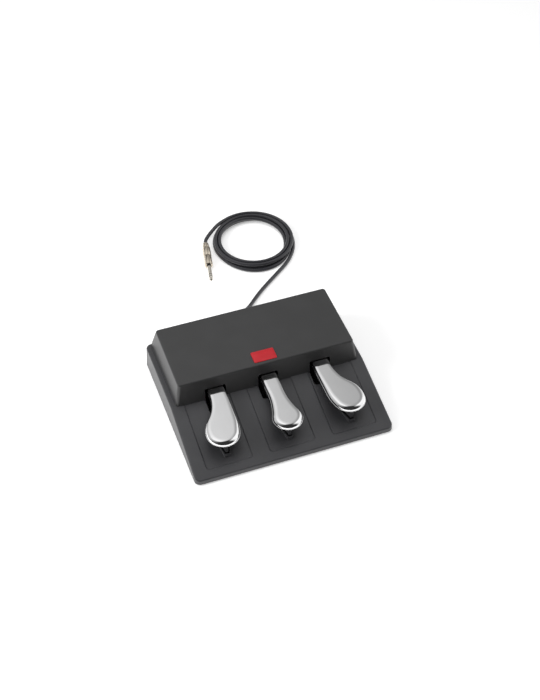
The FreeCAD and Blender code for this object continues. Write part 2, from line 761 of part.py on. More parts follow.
def side_outline(inset, z):
    half = SIDE_NECK_HALF
    tip = V(SIDE_TIP_X, SIDE_TIP_Y, 0)
    radius = SIDE_TIP_RADIUS
    reach = SIDE_TIP_X + half
    inner_radius = (reach ** 2 + (SIDE_TIP_Y - SIDE_INNER_BEND_Y) ** 2 - radius ** 2) / (2 * (reach - radius))
    inner_hub = V(-half + inner_radius, SIDE_INNER_BEND_Y, 0)
    outer_hub = V(SIDE_TIP_X - (SIDE_OUTER_ARC - radius), SIDE_TIP_Y, 0)
    across = half + SIDE_FLARE_ARC - outer_hub.x
    along = math.sqrt((SIDE_FLARE_ARC + SIDE_OUTER_ARC) ** 2 - across ** 2)
    flare_hub = V(half + SIDE_FLARE_ARC, SIDE_TIP_Y + along, 0)
    toward_flare = flare_hub - outer_hub
    toward_flare.normalize()
    past_tip = tip - inner_hub
    past_tip.normalize()
    back = CAP_BACK_Y - inset
    start = V(half - inset, back, 0)
    bend = V(half - inset, flare_hub.y, 0)
    swell = outer_hub + toward_flare * (SIDE_OUTER_ARC - inset)
    widest = V(SIDE_TIP_X + radius - inset, SIDE_TIP_Y, 0)
    front = tip - V(0, radius - inset, 0)
    touch = tip + past_tip * (radius - inset)
    inner_bend = V(-half + inset, SIDE_INNER_BEND_Y, 0)
    last = V(-half + inset, back, 0)
    lift = V(0, 0, z)
    return Part.Wire([Part.makeLine(start + lift, bend + lift),
                      arc_about(flare_hub, bend, swell, z),
                      arc_about(outer_hub, swell, widest, z),
                      arc_about(tip, widest, front, z),
                      arc_about(tip, front, touch, z),
                      arc_about(inner_hub, touch, inner_bend, z),
                      Part.makeLine(inner_bend + lift, last + lift),
                      Part.makeLine(last + lift, start + lift)])


def pedal_plan(side, inset, low, high):
    """Level solid of a pedal's plan between two depths under the cap's top."""
    outline = side_outline if side else centre_outline
    face = Part.Face(outline(inset, CAP_REF_Z - low))
    return face.extrude(V(0, 0, low - high))


def cap_edge_radius(y):
    """Radius of a cap's top edge, small along the neck and growing towards the tip."""
    share = (CAP_FILLET_START_Y - y) / (CAP_FILLET_START_Y - CAP_FILLET_FULL_Y)
    return CAP_NECK_FILLET + (CAP_TIP_FILLET - CAP_NECK_FILLET) * min(1.0, max(0.0, share))


def with_rounded_top(body):
    """Cap's body with its top edges rounded, each by a radius that runs from one end to the other."""
    document = FreeCAD.newDocument("rounding")
    sharp = document.addObject("Part::Feature", "Sharp")
    sharp.Shape = body
    rows = []
    for number, edge in enumerate(sharp.Shape.Edges, 1):
        if all(abs(v.Z - CAP_REF_Z) < SAME for v in edge.Vertexes):
            first, last = edge.valueAt(edge.FirstParameter), edge.valueAt(edge.LastParameter)
            rows.append((number, cap_edge_radius(first.y), cap_edge_radius(last.y)))
    rounded = document.addObject("Part::Fillet", "Rounded")
    rounded.Base = sharp
    rounded.Edges = rows
    document.recompute()
    result = rounded.Shape.copy()
    FreeCAD.closeDocument(document.Name)
    return result


def pedal_cap(side):
    body = with_rounded_top(pedal_plan(side, CAP_LIP, CAP_HEIGHT, 0.0))
    lip = pedal_plan(side, 0.0, CAP_HEIGHT, CAP_HEIGHT - CAP_LIP_HEIGHT)
    hollow = pedal_plan(side, CAP_LIP + CAP_WALL, CAP_HEIGHT, CAP_ROOF)
    cap = body.fuse(lip).cut(hollow)
    return moved(mirror_side(tilted(cap), side), side * NECK_PITCH)


def keel_corners(side, gap=0.0, corner=0.0):
    """Corners of the keel's plan, or of an outline that keeps a gap to it."""
    tip_x = KEEL_SIDE_TIP_X if side else 0.0
    shoulder_x = KEEL_SIDE_SHOULDER_X if side else 0.0
    half, shoulder, tip = LEVER_HALF + gap, KEEL_SHOULDER_HALF + gap, KEEL_TIP_HALF + gap
    return [(-half, CAP_REF_Y, 0), (-half, KEEL_STRAIGHT_Y, 0),
            (shoulder_x - shoulder, KEEL_SHOULDER_Y, KEEL_SHOULDER_CORNER),
            (tip_x - tip, KEEL_TIP_Y - gap, corner), (tip_x + tip, KEEL_TIP_Y - gap, corner),
            (shoulder_x + shoulder, KEEL_SHOULDER_Y, KEEL_SHOULDER_CORNER),
            (half, KEEL_STRAIGHT_Y, 0), (half, CAP_REF_Y, 0)]


def pedal_lever(side):
    plate = tilted(pedal_plan(side, CAP_LIP + CAP_WALL + CAP_FIT, CAP_HEIGHT, CAP_ROOF))
    keel = prism(keel_corners(side), flat(0.0), V(0, 0, 2 * CAP_REF_Z))
    far = KEEL_TIP_Y - PAST
    far_z = KEEL_TIP_Z - PAST * (LEVER_UNDER_Z - KEEL_TIP_Z) / (CAP_REF_Y - KEEL_TIP_Y)
    depth = CAP_ROOF + CAP_WALL
    web = side_prism([(far, far_z, 0), (CAP_REF_Y, LEVER_UNDER_Z, 0),
                      (CAP_REF_Y, cap_plane_z(CAP_REF_Y, depth), 0), (far, cap_plane_z(far, depth), 0)],
                     -BASE_WIDTH, BASE_WIDTH)
    front = plate.fuse(keel.common(web))
    front = mirror_side(front, side)
    bar = side_prism([(CAP_REF_Y - 1, LEVER_UNDER_Z, 0), (LEVER_BACK_Y, LEVER_UNDER_Z, 0),
                      (LEVER_BACK_Y, LEVER_TOP_Z, BAR_CORNER), (CAP_REF_Y - 1, LEVER_TOP_Z, 0)],
                     -LEVER_HALF, LEVER_HALF)
    tail = side_prism([(LEVER_BACK_Y - 1, LEVER_UNDER_Z, 0), (TAIL_BACK_Y, LEVER_UNDER_Z, TAIL_CORNER),
                       (TAIL_BACK_Y, TAIL_TOP_Z, TAIL_CORNER), (LEVER_BACK_Y - 1, TAIL_TOP_Z, 0)],
                      -LEVER_HALF, TAIL_FACE_X)
    boss = rod(V(-BOSS_HALF, PIVOT_Y, PIVOT_Z), V(1, 0, 0), BOSS_RADIUS, 2 * BOSS_HALF)
    spigot = rod(V(0, SPRING_Y, LEVER_UNDER_Z + 1), V(0, 0, -1), SPIGOT_RADIUS, SPIGOT_LENGTH + 1)
    lever = fuse_all([front, bar, tail, boss, spigot])
    bore = rod(V(-BOSS_HALF - 1, PIVOT_Y, PIVOT_Z), V(1, 0, 0), BUSH_RADIUS, 2 * BOSS_HALF + 2)
    holes = [rod(V(TAIL_FACE_X, y, PIVOT_Z - GEAR_SCREW_DROP), V(-1, 0, 0), SCREW_RADIUS, SHORT_BITE)
             for y in gear_screw_places()]
    return moved(cut_all(lever, [bore] + holes), side * NECK_PITCH)


def gear_screw_places():
    """Y of the two screws that hold the sector against the tail."""
    first = PIVOT_Y + SECTOR_INNER_RADIUS + SCREW_HEAD_RADIUS + GEAR_SCREW_SPACE
    return (first, first + 2 * SCREW_HEAD_RADIUS + GEAR_SCREW_SPACE)


def gear_screws(side):
    head_x = TAIL_FACE_X + SECTOR_THICKNESS
    screws = []
    for y in gear_screw_places():
        start = V(head_x, y, PIVOT_Z - GEAR_SCREW_DROP)
        head = rod(start, V(1, 0, 0), SCREW_HEAD_RADIUS, CAP_SCREW_HEAD)
        shank = rod(start, V(-1, 0, 0), SCREW_RADIUS, SECTOR_THICKNESS + SHORT_BITE)
        screws.append(moved(head.fuse(shank), side * NECK_PITCH))
    return Part.makeCompound(screws)


# Pivot, bracket, stops and spring

def pivot_bushes(side):
    bushes = []
    for sign in (-1, 1):
        axis = V(sign, 0, 0)
        sleeve = rod(V(sign * (BOSS_HALF - BUSH_LENGTH), PIVOT_Y, PIVOT_Z), axis, BUSH_RADIUS, BUSH_LENGTH)
        flange = rod(V(sign * BOSS_HALF, PIVOT_Y, PIVOT_Z), axis, BUSH_FLANGE_RADIUS, BUSH_FLANGE)
        bore = rod(V(0, PIVOT_Y, PIVOT_Z), axis, PIN_RADIUS + BUSH_RUNNING_GAP, PIN_HALF)
        bushes.append(sleeve.fuse(flange).cut(bore))
    return moved(Part.makeCompound(bushes), side * NECK_PITCH)


def clip_start():
    return BRACKET_HALF + CLIP_GAP


def pivot_pin(side):
    pin = rod(V(-PIN_HALF, PIVOT_Y, PIVOT_Z), V(1, 0, 0), PIN_RADIUS, 2 * PIN_HALF)
    grooves = [ring(V(sign * clip_start(), PIVOT_Y, PIVOT_Z), V(sign, 0, 0), 2 * PIN_RADIUS,
                    CLIP_GROOVE_RADIUS, CLIP_THICKNESS) for sign in (-1, 1)]
    return moved(cut_all(pin, grooves), side * NECK_PITCH)


def pin_clips():
    clips = []
    for name, side in PEDALS:
        for sign in (-1, 1):
            start = V(side * NECK_PITCH + sign * clip_start(), PIVOT_Y, PIVOT_Z)
            clips.append(ring(start, V(sign, 0, 0), CLIP_RADIUS, CLIP_GROOVE_RADIUS, CLIP_THICKNESS))
    return Part.makeCompound(clips)


def shelf_top():
    return LEVER_UNDER_Z - REST_GAP - REST_PAD_HEIGHT


def pivot_bracket(side):
    base = box(-BRACKET_HALF, BRACKET_HALF, BRACKET_FRONT_Y, BRACKET_BACK_Y, PLATE_TOP, BRACKET_TOP)
    top = PIVOT_Z + EAR_TOP_GAP
    profile = [(PIVOT_Y - EAR_HALF_LENGTH, PLATE_TOP, 0), (PIVOT_Y + EAR_HALF_LENGTH, PLATE_TOP, 0),
               (PIVOT_Y + EAR_HALF_LENGTH, top, EAR_HALF_LENGTH * 0.8),
               (PIVOT_Y - EAR_HALF_LENGTH, top, EAR_HALF_LENGTH * 0.8)]
    ears = [side_prism(profile, BRACKET_HALF - SHEET, BRACKET_HALF),
            side_prism(profile, -BRACKET_HALF, -BRACKET_HALF + SHEET)]
    sensor_ear = box(SENSOR_EAR_X, sensor_face(), SENSOR_EAR_FRONT_Y, BRACKET_BACK_Y,
                     PLATE_TOP, SENSOR_EAR_TOP_Z)
    shelf_y = SENSOR_EAR_FRONT_Y + 1
    shelf = box(-SHELF_HALF, sensor_face(), shelf_y, shelf_y + SHELF_DEPTH, shelf_top() - SHEET, shelf_top())
    bracket = fuse_all([base] + ears + [sensor_ear, shelf])
    holes = [rod(V(x, y, 0), V(0, 0, 1), SCREW_RADIUS, 2 * BRACKET_TOP) for x, y in BRACKET_SCREWS]
    holes.append(rod(V(-PIN_HALF, PIVOT_Y, PIVOT_Z), V(1, 0, 0), PIN_RADIUS, 2 * PIN_HALF))
    holes.append(rod(V(SENSOR_EAR_X - 1, SENSOR_Y, PIVOT_Z), V(1, 0, 0), SENSOR_BUSH_RADIUS, SHEET + 2))
    return moved(cut_all(bracket, holes), side * NECK_PITCH)


def bracket_screws():
    screws = []
    for name, side in PEDALS:
        for x, y in BRACKET_SCREWS:
            head = rod(V(x, y, BRACKET_TOP), V(0, 0, 1), SCREW_HEAD_RADIUS, CAP_SCREW_HEAD)
            shank = rod(V(x, y, FOOT_HEIGHT), V(0, 0, 1), SCREW_RADIUS, PLATE_THICKNESS + SHEET)
            screws.append(moved(head.fuse(shank), side * NECK_PITCH))
    return Part.makeCompound(screws)


def keel_tip_pressed():
    """Y and Z of the keel's lowest point with the pedal fully down."""
    turn = math.radians(PEDAL_TRAVEL)
    y = KEEL_TIP_Y - PIVOT_Y
    z = KEEL_TIP_Z - PIVOT_Z
    return (PIVOT_Y + y * math.cos(turn) - z * math.sin(turn),
            PIVOT_Z + y * math.sin(turn) + z * math.cos(turn))


def stop_pads(side):
    tip_y, tip_z = keel_tip_pressed()
    tip_x = side * KEEL_SIDE_TIP_X
    floor_pad = rod(V(tip_x, tip_y + STOP_PAD_BEHIND, PLATE_TOP), V(0, 0, 1), STOP_PAD_RADIUS,
                    tip_z - REST_GAP - PLATE_TOP)
    rest_pad = box(-LEVER_HALF, TAIL_FACE_X, SENSOR_EAR_FRONT_Y + REST_PAD_INSET, TAIL_BACK_Y - 1,
                   shelf_top(), shelf_top() + REST_PAD_HEIGHT)
    return moved(Part.makeCompound([floor_pad, rest_pad]), side * NECK_PITCH)


def spring_seats():
    seats = []
    for name, side in PEDALS:
        disc = rod(V(0, SPRING_Y, BRACKET_TOP), V(0, 0, 1), SEAT_RADIUS, SEAT_HEIGHT)
        post = rod(V(0, SPRING_Y, BRACKET_TOP), V(0, 0, 1), SEAT_POST_RADIUS, SEAT_HEIGHT + SEAT_POST_HEIGHT)
        seats.append(moved(disc.fuse(post), side * NECK_PITCH))
    return Part.makeCompound(seats)


def return_spring(name, side):
    low = BRACKET_TOP + SEAT_HEIGHT + SPRING_GAP + SPRING_WIRE / 2
    high = LEVER_UNDER_Z - SPRING_GAP - SPRING_WIRE / 2
    whole = 2 * math.pi * SPRING_TURNS

    def point_at(angle):
        rise = low + (high - low) * angle / whole
        return V(SPRING_RADIUS * math.cos(angle), SPRING_Y + SPRING_RADIUS * math.sin(angle), rise)

    solid = wound_tube("return_spring_" + name, point_at, 0.0, whole, 4 * SPRING_TURNS, SPRING_WIRE / 2)[0]
    return moved(solid, side * NECK_PITCH)


# Gears and rotary sensors

def involute(angle):
    return math.tan(angle) - angle


def tooth_flank(teeth):
    """Points (radius, half angle) of one tooth's flank, from root to tip."""
    pitch = GEAR_MODULE * teeth / 2
    base = pitch * math.cos(math.radians(PRESSURE_ANGLE))
    root = pitch - GEAR_DEDENDUM
    tip = pitch + GEAR_ADDENDUM
    thickness = math.pi * GEAR_MODULE / 2 - GEAR_BACKLASH / 2
    half = thickness / (2 * pitch) + involute(math.radians(PRESSURE_ANGLE))
    low = max(root, base)
    radii = [low + (tip - low) * index / 4 for index in range(5)]
    flank = [(radius, half - involute(math.acos(base / radius))) for radius in radii]
    if root < base:
        flank.insert(0, (root, half))
    return flank


def gear_points(teeth, centres):
    points = []
    flank = tooth_flank(teeth)
    for centre in centres:
        points += [(radius, centre - angle) for radius, angle in flank]
        points += [(radius, centre + angle) for radius, angle in reversed(flank)]
    return points


def gear_plate(points, y, z, x, width):
    corners = [V(x, y + radius * math.cos(angle), z + radius * math.sin(angle)) for radius, angle in points]
    return Part.Face(Part.makePolygon(corners + [corners[0]])).extrude(V(width, 0, 0))


def sector_gear(side):
    step = 2 * math.pi / SECTOR_TEETH
    root = GEAR_MODULE * SECTOR_TEETH / 2 - GEAR_DEDENDUM
    centres = [step * index for index in range(-SECTOR_LOWER_TEETH, SECTOR_UPPER_TEETH + 1)]
    low = centres[0] - step / 2
    high = centres[-1] + step / 2
    points = [(SECTOR_INNER_RADIUS, low), (root, low)] + gear_points(SECTOR_TEETH, centres)
    points += [(root, high), (SECTOR_INNER_RADIUS, high)]
    plate = gear_plate(points, PIVOT_Y, PIVOT_Z, TAIL_FACE_X, SECTOR_THICKNESS)
    holes = [rod(V(TAIL_FACE_X - 1, y, PIVOT_Z - GEAR_SCREW_DROP), V(1, 0, 0), SCREW_RADIUS,
                 SECTOR_THICKNESS + 2) for y in gear_screw_places()]
    return moved(cut_all(plate, holes), side * NECK_PITCH)


def pinion_start():
    return TAIL_FACE_X + SECTOR_THICKNESS / 2 - PINION_WIDTH / 2


def pinion(side):
    step = 2 * math.pi / PINION_TEETH
    centres = [math.pi + step * (index + 0.5) for index in range(PINION_TEETH)]
    wheel = gear_plate(gear_points(PINION_TEETH, centres), SENSOR_Y, PIVOT_Z, pinion_start(), PINION_WIDTH)
    bore = rod(V(pinion_start() - 1, SENSOR_Y, PIVOT_Z), V(1, 0, 0), SHAFT_RADIUS, PINION_WIDTH + 2)
    return moved(wheel.cut(bore), side * NECK_PITCH)


def sensor_face():
    return SENSOR_EAR_X + SHEET


def sensor_shaft(side):
    length = sensor_face() + SHAFT_INTO_SENSOR - pinion_start()
    shaft = rod(V(pinion_start(), SENSOR_Y, PIVOT_Z), V(1, 0, 0), SHAFT_RADIUS, length)
    return moved(shaft, side * NECK_PITCH)


def sensor_body(side):
    face = sensor_face()
    axis = V(1, 0, 0)
    can = rod(V(face, SENSOR_Y, PIVOT_Z), axis, SENSOR_RADIUS, SENSOR_LENGTH)
    bush = rod(V(face - SENSOR_BUSH_LENGTH, SENSOR_Y, PIVOT_Z), axis, SENSOR_BUSH_RADIUS, SENSOR_BUSH_LENGTH)
    half = TERMINAL_WIDTH / 2
    terminals = box(face + TERMINAL_FRONT, face + SENSOR_LENGTH - TERMINAL_BACK,
                    SENSOR_Y - half, SENSOR_Y + half, terminal_z(), PIVOT_Z)
    bore_start = face - SENSOR_BUSH_LENGTH - 1
    bore = rod(V(bore_start, SENSOR_Y, PIVOT_Z), axis, SHAFT_RADIUS + SHAFT_RUNNING_GAP,
               face + SHAFT_INTO_SENSOR + 0.2 - bore_start)
    return moved(fuse_all([can, bush, terminals]).cut(bore), side * NECK_PITCH)


def terminal_z():
    return PIVOT_Z - SENSOR_RADIUS - TERMINAL_DROP


def sensor_nuts():
    nuts = []
    corner = NUT_ACROSS / math.sqrt(3)
    for name, side in PEDALS:
        x = side * NECK_PITCH + SENSOR_EAR_X - NUT_THICKNESS
        corners = [V(x, SENSOR_Y + corner * math.cos(math.radians(60 * index)),
                     PIVOT_Z + corner * math.sin(math.radians(60 * index))) for index in range(6)]
        nut = Part.Face(Part.makePolygon(corners + [corners[0]])).extrude(V(NUT_THICKNESS, 0, 0))
        bore = rod(V(x - 1, SENSOR_Y, PIVOT_Z), V(1, 0, 0), SENSOR_BUSH_RADIUS, NUT_THICKNESS + 2)
        nuts.append(nut.cut(bore))
    return Part.makeCompound(nuts)


# Circuit board and inner leads

def board_corners():
    inset = BOARD_CORNER_INSET
    return [(x, y) for x in (BOARD_X + inset, BOARD_X + BOARD_WIDTH - inset)
            for y in (BOARD_FRONT_Y + inset, BOARD_FRONT_Y + BOARD_LENGTH - inset)]


def board_low():
    return PLATE_TOP + STANDOFF_HEIGHT


def board_top():
    return board_low() + BOARD_THICKNESS


def circuit_board():
    board = box(BOARD_X, BOARD_X + BOARD_WIDTH, BOARD_FRONT_Y, BOARD_FRONT_Y + BOARD_LENGTH,
                board_low(), board_top())
    return cut_all(board, [rod(V(x, y, board_low() - 1), V(0, 0, 1), SCREW_RADIUS, BOARD_THICKNESS + 2)
                           for x, y in board_corners()])


def board_standoffs():
    return Part.makeCompound([ring(V(x, y, PLATE_TOP), V(0, 0, 1), STANDOFF_RADIUS, SCREW_RADIUS,
                                   STANDOFF_HEIGHT) for x, y in board_corners()])


def board_screws():
    screws = []
    for x, y in board_corners():
        head = rod(V(x, y, board_top()), V(0, 0, 1), STANDOFF_RADIUS * 0.9, SCREW_HEAD_HEIGHT)
        shank = rod(V(x, y, board_top()), V(0, 0, -1), SCREW_RADIUS, BOARD_THICKNESS + SHORT_BITE)
        screws.append(head.fuse(shank))
    return Part.makeCompound(screws)


def board_chips():
    """Processor, two small packages and two capacitors."""
    top = board_top()
    middle = BOARD_X + BOARD_WIDTH / 2
    chips = []
    for dx, dy, width, length, height in PACKAGES:
        x = middle + dx
        y = BOARD_FRONT_Y + dy
        chips.append(box(x - width / 2, x + width / 2, y - length / 2, y + length / 2, top, top + height))
    for dx, dy in CAPACITORS:
        foot = V(middle + dx, BOARD_FRONT_Y + dy, top)
        chips.append(rod(foot, V(0, 0, 1), CAPACITOR_RADIUS, CAPACITOR_HEIGHT))
    return Part.makeCompound(chips)


def connector_middle_z():
    return board_top() + CONNECTOR_HEIGHT / 2


def board_connectors():
    """Sockets for the three sensor leads and for the outgoing cord."""
    top = board_top()
    high = top + CONNECTOR_HEIGHT
    half = CONNECTOR_LENGTH / 2
    left = BOARD_X + CONNECTOR_INSET
    right = BOARD_X + BOARD_WIDTH - CONNECTOR_INSET
    back = BOARD_FRONT_Y + BOARD_LENGTH - CONNECTOR_INSET
    sockets = [box(left, left + CONNECTOR_DEPTH, y - half, y + half, top, high) for y in LEFT_SOCKETS]
    sockets.append(box(right - CONNECTOR_DEPTH, right, RIGHT_SOCKET - half, RIGHT_SOCKET + half, top, high))
    sockets.append(box(CORD_SOCKET_X - half, CORD_SOCKET_X + half, back - CONNECTOR_DEPTH, back, top, high))
    return Part.makeCompound(sockets)


def sensor_leads():
    x = sensor_face() + (TERMINAL_FRONT + SENSOR_LENGTH - TERMINAL_BACK) / 2
    z = connector_middle_z()
    left = BOARD_X + CONNECTOR_INSET
    right = BOARD_X + BOARD_WIDTH - CONNECTOR_INSET
    top = terminal_z()
    behind = BRACKET_BACK_Y
    far = LEFT_SOCKETS[1]
    routes = {
        "centre": [V(x, SENSOR_Y, top), V(x, SENSOR_Y, z), V(left, LEFT_SOCKETS[0], z)],
        "left": [V(x - NECK_PITCH, SENSOR_Y, top), V(x - NECK_PITCH, SENSOR_Y, top - 10),
                 V(x - NECK_PITCH + 2, SENSOR_Y + 10, z - 6), V(x - NECK_PITCH + 12, behind + 7, z - 8),
                 V(-24.0, behind + 9, z - 9), V(2.0, behind + 7.5, z - 7), V(14.0, behind + 1, z - 1),
                 V(left - 5, far, z), V(left, far, z)],
        "right": [V(x + NECK_PITCH, SENSOR_Y, top), V(x + NECK_PITCH, SENSOR_Y, top - 9),
                  V(x + NECK_PITCH - 0.5, SENSOR_Y + 15, z - 6), V(x + NECK_PITCH - 13, behind + 9, z - 8),
                  V(right + 17, behind + 4, z - 4), V(right + 8, RIGHT_SOCKET, z), V(right, RIGHT_SOCKET, z)]}
    return [tube("sensor_lead_" + name, points, LEAD_RADIUS) for name, points in routes.items()]


def relief_inner_y():
    return wall_y() - RELIEF_INSIDE


def wall_y():
    """Outside of the back wall below the cord's exit, where the relief's flange rests."""
    low = CORD_EXIT_Z - RELIEF_FLANGE_RADIUS
    lean = (BASE_DEPTH - DECK_DEPTH) / 2 / (LEDGE_Z - FOOT_HEIGHT)
    return BASE_DEPTH / 2 - lean * (low - FOOT_HEIGHT)


def strain_relief():
    """Gland in the back wall: nut inside, flange outside, then a tapered sleeve."""
    face = wall_y()
    axis = V(0, 1, 0)
    inside = rod(V(CORD_EXIT_X, relief_inner_y(), CORD_EXIT_Z), axis, RELIEF_ROOT_RADIUS,
                 face - relief_inner_y())
    nut = rod(V(CORD_EXIT_X, relief_inner_y(), CORD_EXIT_Z), axis, RELIEF_FLANGE_RADIUS - 0.6,
              RELIEF_INSIDE - DECK_WALL - 1.0)
    flange = rod(V(CORD_EXIT_X, face, CORD_EXIT_Z), axis, RELIEF_FLANGE_RADIUS, RELIEF_FLANGE)
    sleeve = Part.makeCone(RELIEF_ROOT_RADIUS, RELIEF_TIP_RADIUS, RELIEF_LENGTH - RELIEF_FLANGE,
                           V(CORD_EXIT_X, face + RELIEF_FLANGE, CORD_EXIT_Z), axis)
    return fuse_all([inside, nut, flange, sleeve])


def cord_inner_lead():
    z = connector_middle_z()
    back = BOARD_FRONT_Y + BOARD_LENGTH - CONNECTOR_INSET
    start = V(CORD_EXIT_X, relief_inner_y(), CORD_EXIT_Z)
    end = V(CORD_SOCKET_X, back, z)
    return tube("cord_inner_lead", [start, start - V(0, 7, 0), end + V(0, 7, 0), end], LEAD_RADIUS)


# Cord, coil and plug

def coil_point(angle):
    """Centre of the cord at an angle counted along the coil, from its outer end."""
    first = math.radians(COIL_START_ANGLE)
    last = math.radians(COIL_END_ANGLE + 360 * COIL_WHOLE_TURNS)
    inmost = (first + last) / 2
    half_climb = math.pi / 2
    away = abs(angle - inmost)
    if away < half_climb:
        run = away ** 2 / (2 * half_climb) + half_climb / 2
    else:
        run = away
    radius = COIL_OUTER_RADIUS - COIL_PITCH * (last - inmost - run) / (2 * math.pi)
    share = min(1.0, max(0.0, (angle - inmost + half_climb) / (2 * half_climb)))
    climb = share ** 2 * (3 - 2 * share)
    radius += coil_bulge(angle) * (1 - climb)
    return V(COIL_X + radius * math.cos(angle), COIL_Y + radius * math.sin(angle),
             CORD_RADIUS + climb * COIL_LAYER)


def coil_bulge(angle):
    """How much further out the floor layer's turns lie at the front of the coil."""
    away = (angle - math.radians(COIL_BULGE_ANGLE) + math.pi) % (2 * math.pi) - math.pi
    share = min(1.0, abs(away) / math.radians(COIL_BULGE_SPAN))
    return COIL_BULGE * math.cos(share * math.pi / 2) ** 2


def cord_coil():
    first = math.radians(COIL_START_ANGLE)
    last = math.radians(COIL_END_ANGLE + 360 * COIL_WHOLE_TURNS)
    steps = 4 * COIL_WHOLE_TURNS + 2
    return wound_tube("cord_coil", coil_point, first, last, steps, CORD_RADIUS)


def cord_lead(coil_start, coil_heading):
    exit_y = wall_y() + RELIEF_LENGTH
    points = [V(CORD_EXIT_X, exit_y, CORD_EXIT_Z), V(25.0, 157.0, 16.0), V(26.4, 166.5, 12.8),
              V(30.2, 174.4, 7.8), V(37.6, 182.0, 4.0), V(49.5, 194.4, 3.0), V(66.0, 209.8, 3.0),
              V(86.0, 225.6, 3.0), V(106.5, 241.2, 3.0), V(120.4, 251.7, 3.0),
              coil_start - coil_heading * 12.0, coil_start]
    return tube("cord_lead", points, CORD_RADIUS)


def cord_tail(coil_end, coil_heading):
    plug = PLUG_HEADING.normalize()
    points = [coil_end, coil_end + coil_heading * 11.0, V(37.8, 369.6, 8.6), V(29.4, 362.6, 7.7),
              V(22.9, 355.9, 6.9), PLUG_REAR - plug * 7.0, PLUG_REAR]
    return tube("cord_tail", points, CORD_RADIUS)


def turned_on_plug(profile):
    """Solid of revolution about the plug's axis from (along, radius) corners."""
    points = [V(along, radius, 0) for along, radius in profile]
    points = [V(profile[0][0], 0, 0)] + points + [V(profile[-1][0], 0, 0)]
    solid = Part.Face(Part.makePolygon(points + [points[0]])).revolve(V(0, 0, 0), V(1, 0, 0), 360)
    heading = math.degrees(math.atan2(PLUG_HEADING.y, PLUG_HEADING.x))
    solid.rotate(V(0, 0, 0), V(0, 0, 1), heading)
    solid.translate(PLUG_REAR)
    return solid


def plug_rear_cap():
    chamfer = PLUG_CONE_CHAMFER
    return turned_on_plug([(0, PLUG_CONE_REAR - chamfer), (chamfer, PLUG_CONE_REAR),
                           (PLUG_CONE_LENGTH, PLUG_CONE_FRONT)])


def plug_barrel():
    r = PLUG_BARREL_RADIUS
    back = PLUG_CONE_LENGTH
    front = PLUG_BARREL_LENGTH
    chamfer = PLUG_BARREL_CHAMFER
    return turned_on_plug([(back, r - chamfer), (back + chamfer, r), (front - chamfer, r),
                           (front, r - chamfer)])


def plug_insulators():
    start = PLUG_BARREL_LENGTH
    collar = turned_on_plug([(start, PLUG_COLLAR_RADIUS), (start + PLUG_COLLAR, PLUG_COLLAR_RADIUS)])
    bands = [turned_on_plug([(place, PLUG_SHAFT_RADIUS), (place + PLUG_RING_BAND, PLUG_SHAFT_RADIUS)])
             for place in insulator_places()]
    return Part.makeCompound([collar] + bands)


def insulator_places():
    end = PLUG_BARREL_LENGTH + PLUG_SHAFT_LENGTH
    second = end - PLUG_TIP_LENGTH - PLUG_RING_BAND
    return (second - PLUG_RING_LENGTH - PLUG_RING_BAND, second)


def plug_sleeve():
    first, second = insulator_places()
    r = PLUG_SHAFT_RADIUS
    return turned_on_plug([(PLUG_BARREL_LENGTH + PLUG_COLLAR, r), (first, r)])


def plug_ring():
    first, second = insulator_places()
    return turned_on_plug([(first + PLUG_RING_BAND, PLUG_SHAFT_RADIUS), (second, PLUG_SHAFT_RADIUS)])


def plug_tip():
    first, second = insulator_places()
    start = second + PLUG_RING_BAND
    end = PLUG_BARREL_LENGTH + PLUG_SHAFT_LENGTH
    r = PLUG_SHAFT_RADIUS
    neck = PLUG_TIP_NECK_RADIUS
    return turned_on_plug([(start, r), (start + 0.8, r), (start + 2.8, neck), (start + 3.4, neck),
                           (start + 4.6, r - 0.2), (start + 5.4, r - 0.2), (end - 0.6, 0.9), (end, 0.4)])


# All pieces

def build_pieces():
    pieces = {
        "deck_shell": deck_shell(),
        "hood_shell": hood_shell(),
        "badge": badge(),
        "bottom_plate": bottom_plate(),
        "rubber_feet": rubber_feet(),
        "housing_screws": housing_screws(),
        "bracket_screws": bracket_screws(),
        "pin_clips": pin_clips(),
        "sensor_nuts": sensor_nuts(),
        "spring_seats": spring_seats(),
        "circuit_board": circuit_board(),
        "board_standoffs": board_standoffs(),
        "board_screws": board_screws(),
        "board_chips": board_chips(),
        "board_connectors": board_connectors(),
        "inner_leads": Part.makeCompound(sensor_leads() + [cord_inner_lead()]),
        "strain_relief": strain_relief()}
    for name, side in PEDALS:
        pieces["pedal_cap_" + name] = pedal_cap(side)
        pieces["pedal_lever_" + name] = pedal_lever(side)
        pieces["pivot_bushes_" + name] = pivot_bushes(side)
        pieces["pivot_pin_" + name] = pivot_pin(side)
        pieces["pivot_bracket_" + name] = pivot_bracket(side)
        pieces["stop_pads_" + name] = stop_pads(side)
        pieces["return_spring_" + name] = return_spring(name, side)
        pieces["sector_gear_" + name] = sector_gear(side)
        pieces["gear_screws_" + name] = gear_screws(side)
        pieces["pinion_" + name] = pinion(side)
        pieces["sensor_shaft_" + name] = sensor_shaft(side)
        pieces["sensor_body_" + name] = sensor_body(side)
    coil, coil_start, start_heading, coil_end, end_heading = cord_coil()
    pieces["cord_coil"] = coil
    pieces["cord_lead"] = cord_lead(coil_start, start_heading)
    pieces["cord_tail"] = cord_tail(coil_end, end_heading)
    pieces["plug_rear_cap"] = plug_rear_cap()
    pieces["plug_barrel"] = plug_barrel()
    pieces["plug_insulators"] = plug_insulators()
    pieces["plug_shaft"] = Part.makeCompound([plug_sleeve(), plug_ring(), plug_tip()])
    return pieces


os.makedirs("parts", exist_ok=True)
for node, shape in build_pieces().items():
    if not shape.isValid():
        print("not valid:", node)
    shape.exportStep("parts/" + node + ".step")
    print(node, len(shape.Solids), "solids, volume %.0f" % shape.Volume)
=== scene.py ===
import json
import math

import bmesh
import bpy
from mathutils import Matrix, Vector


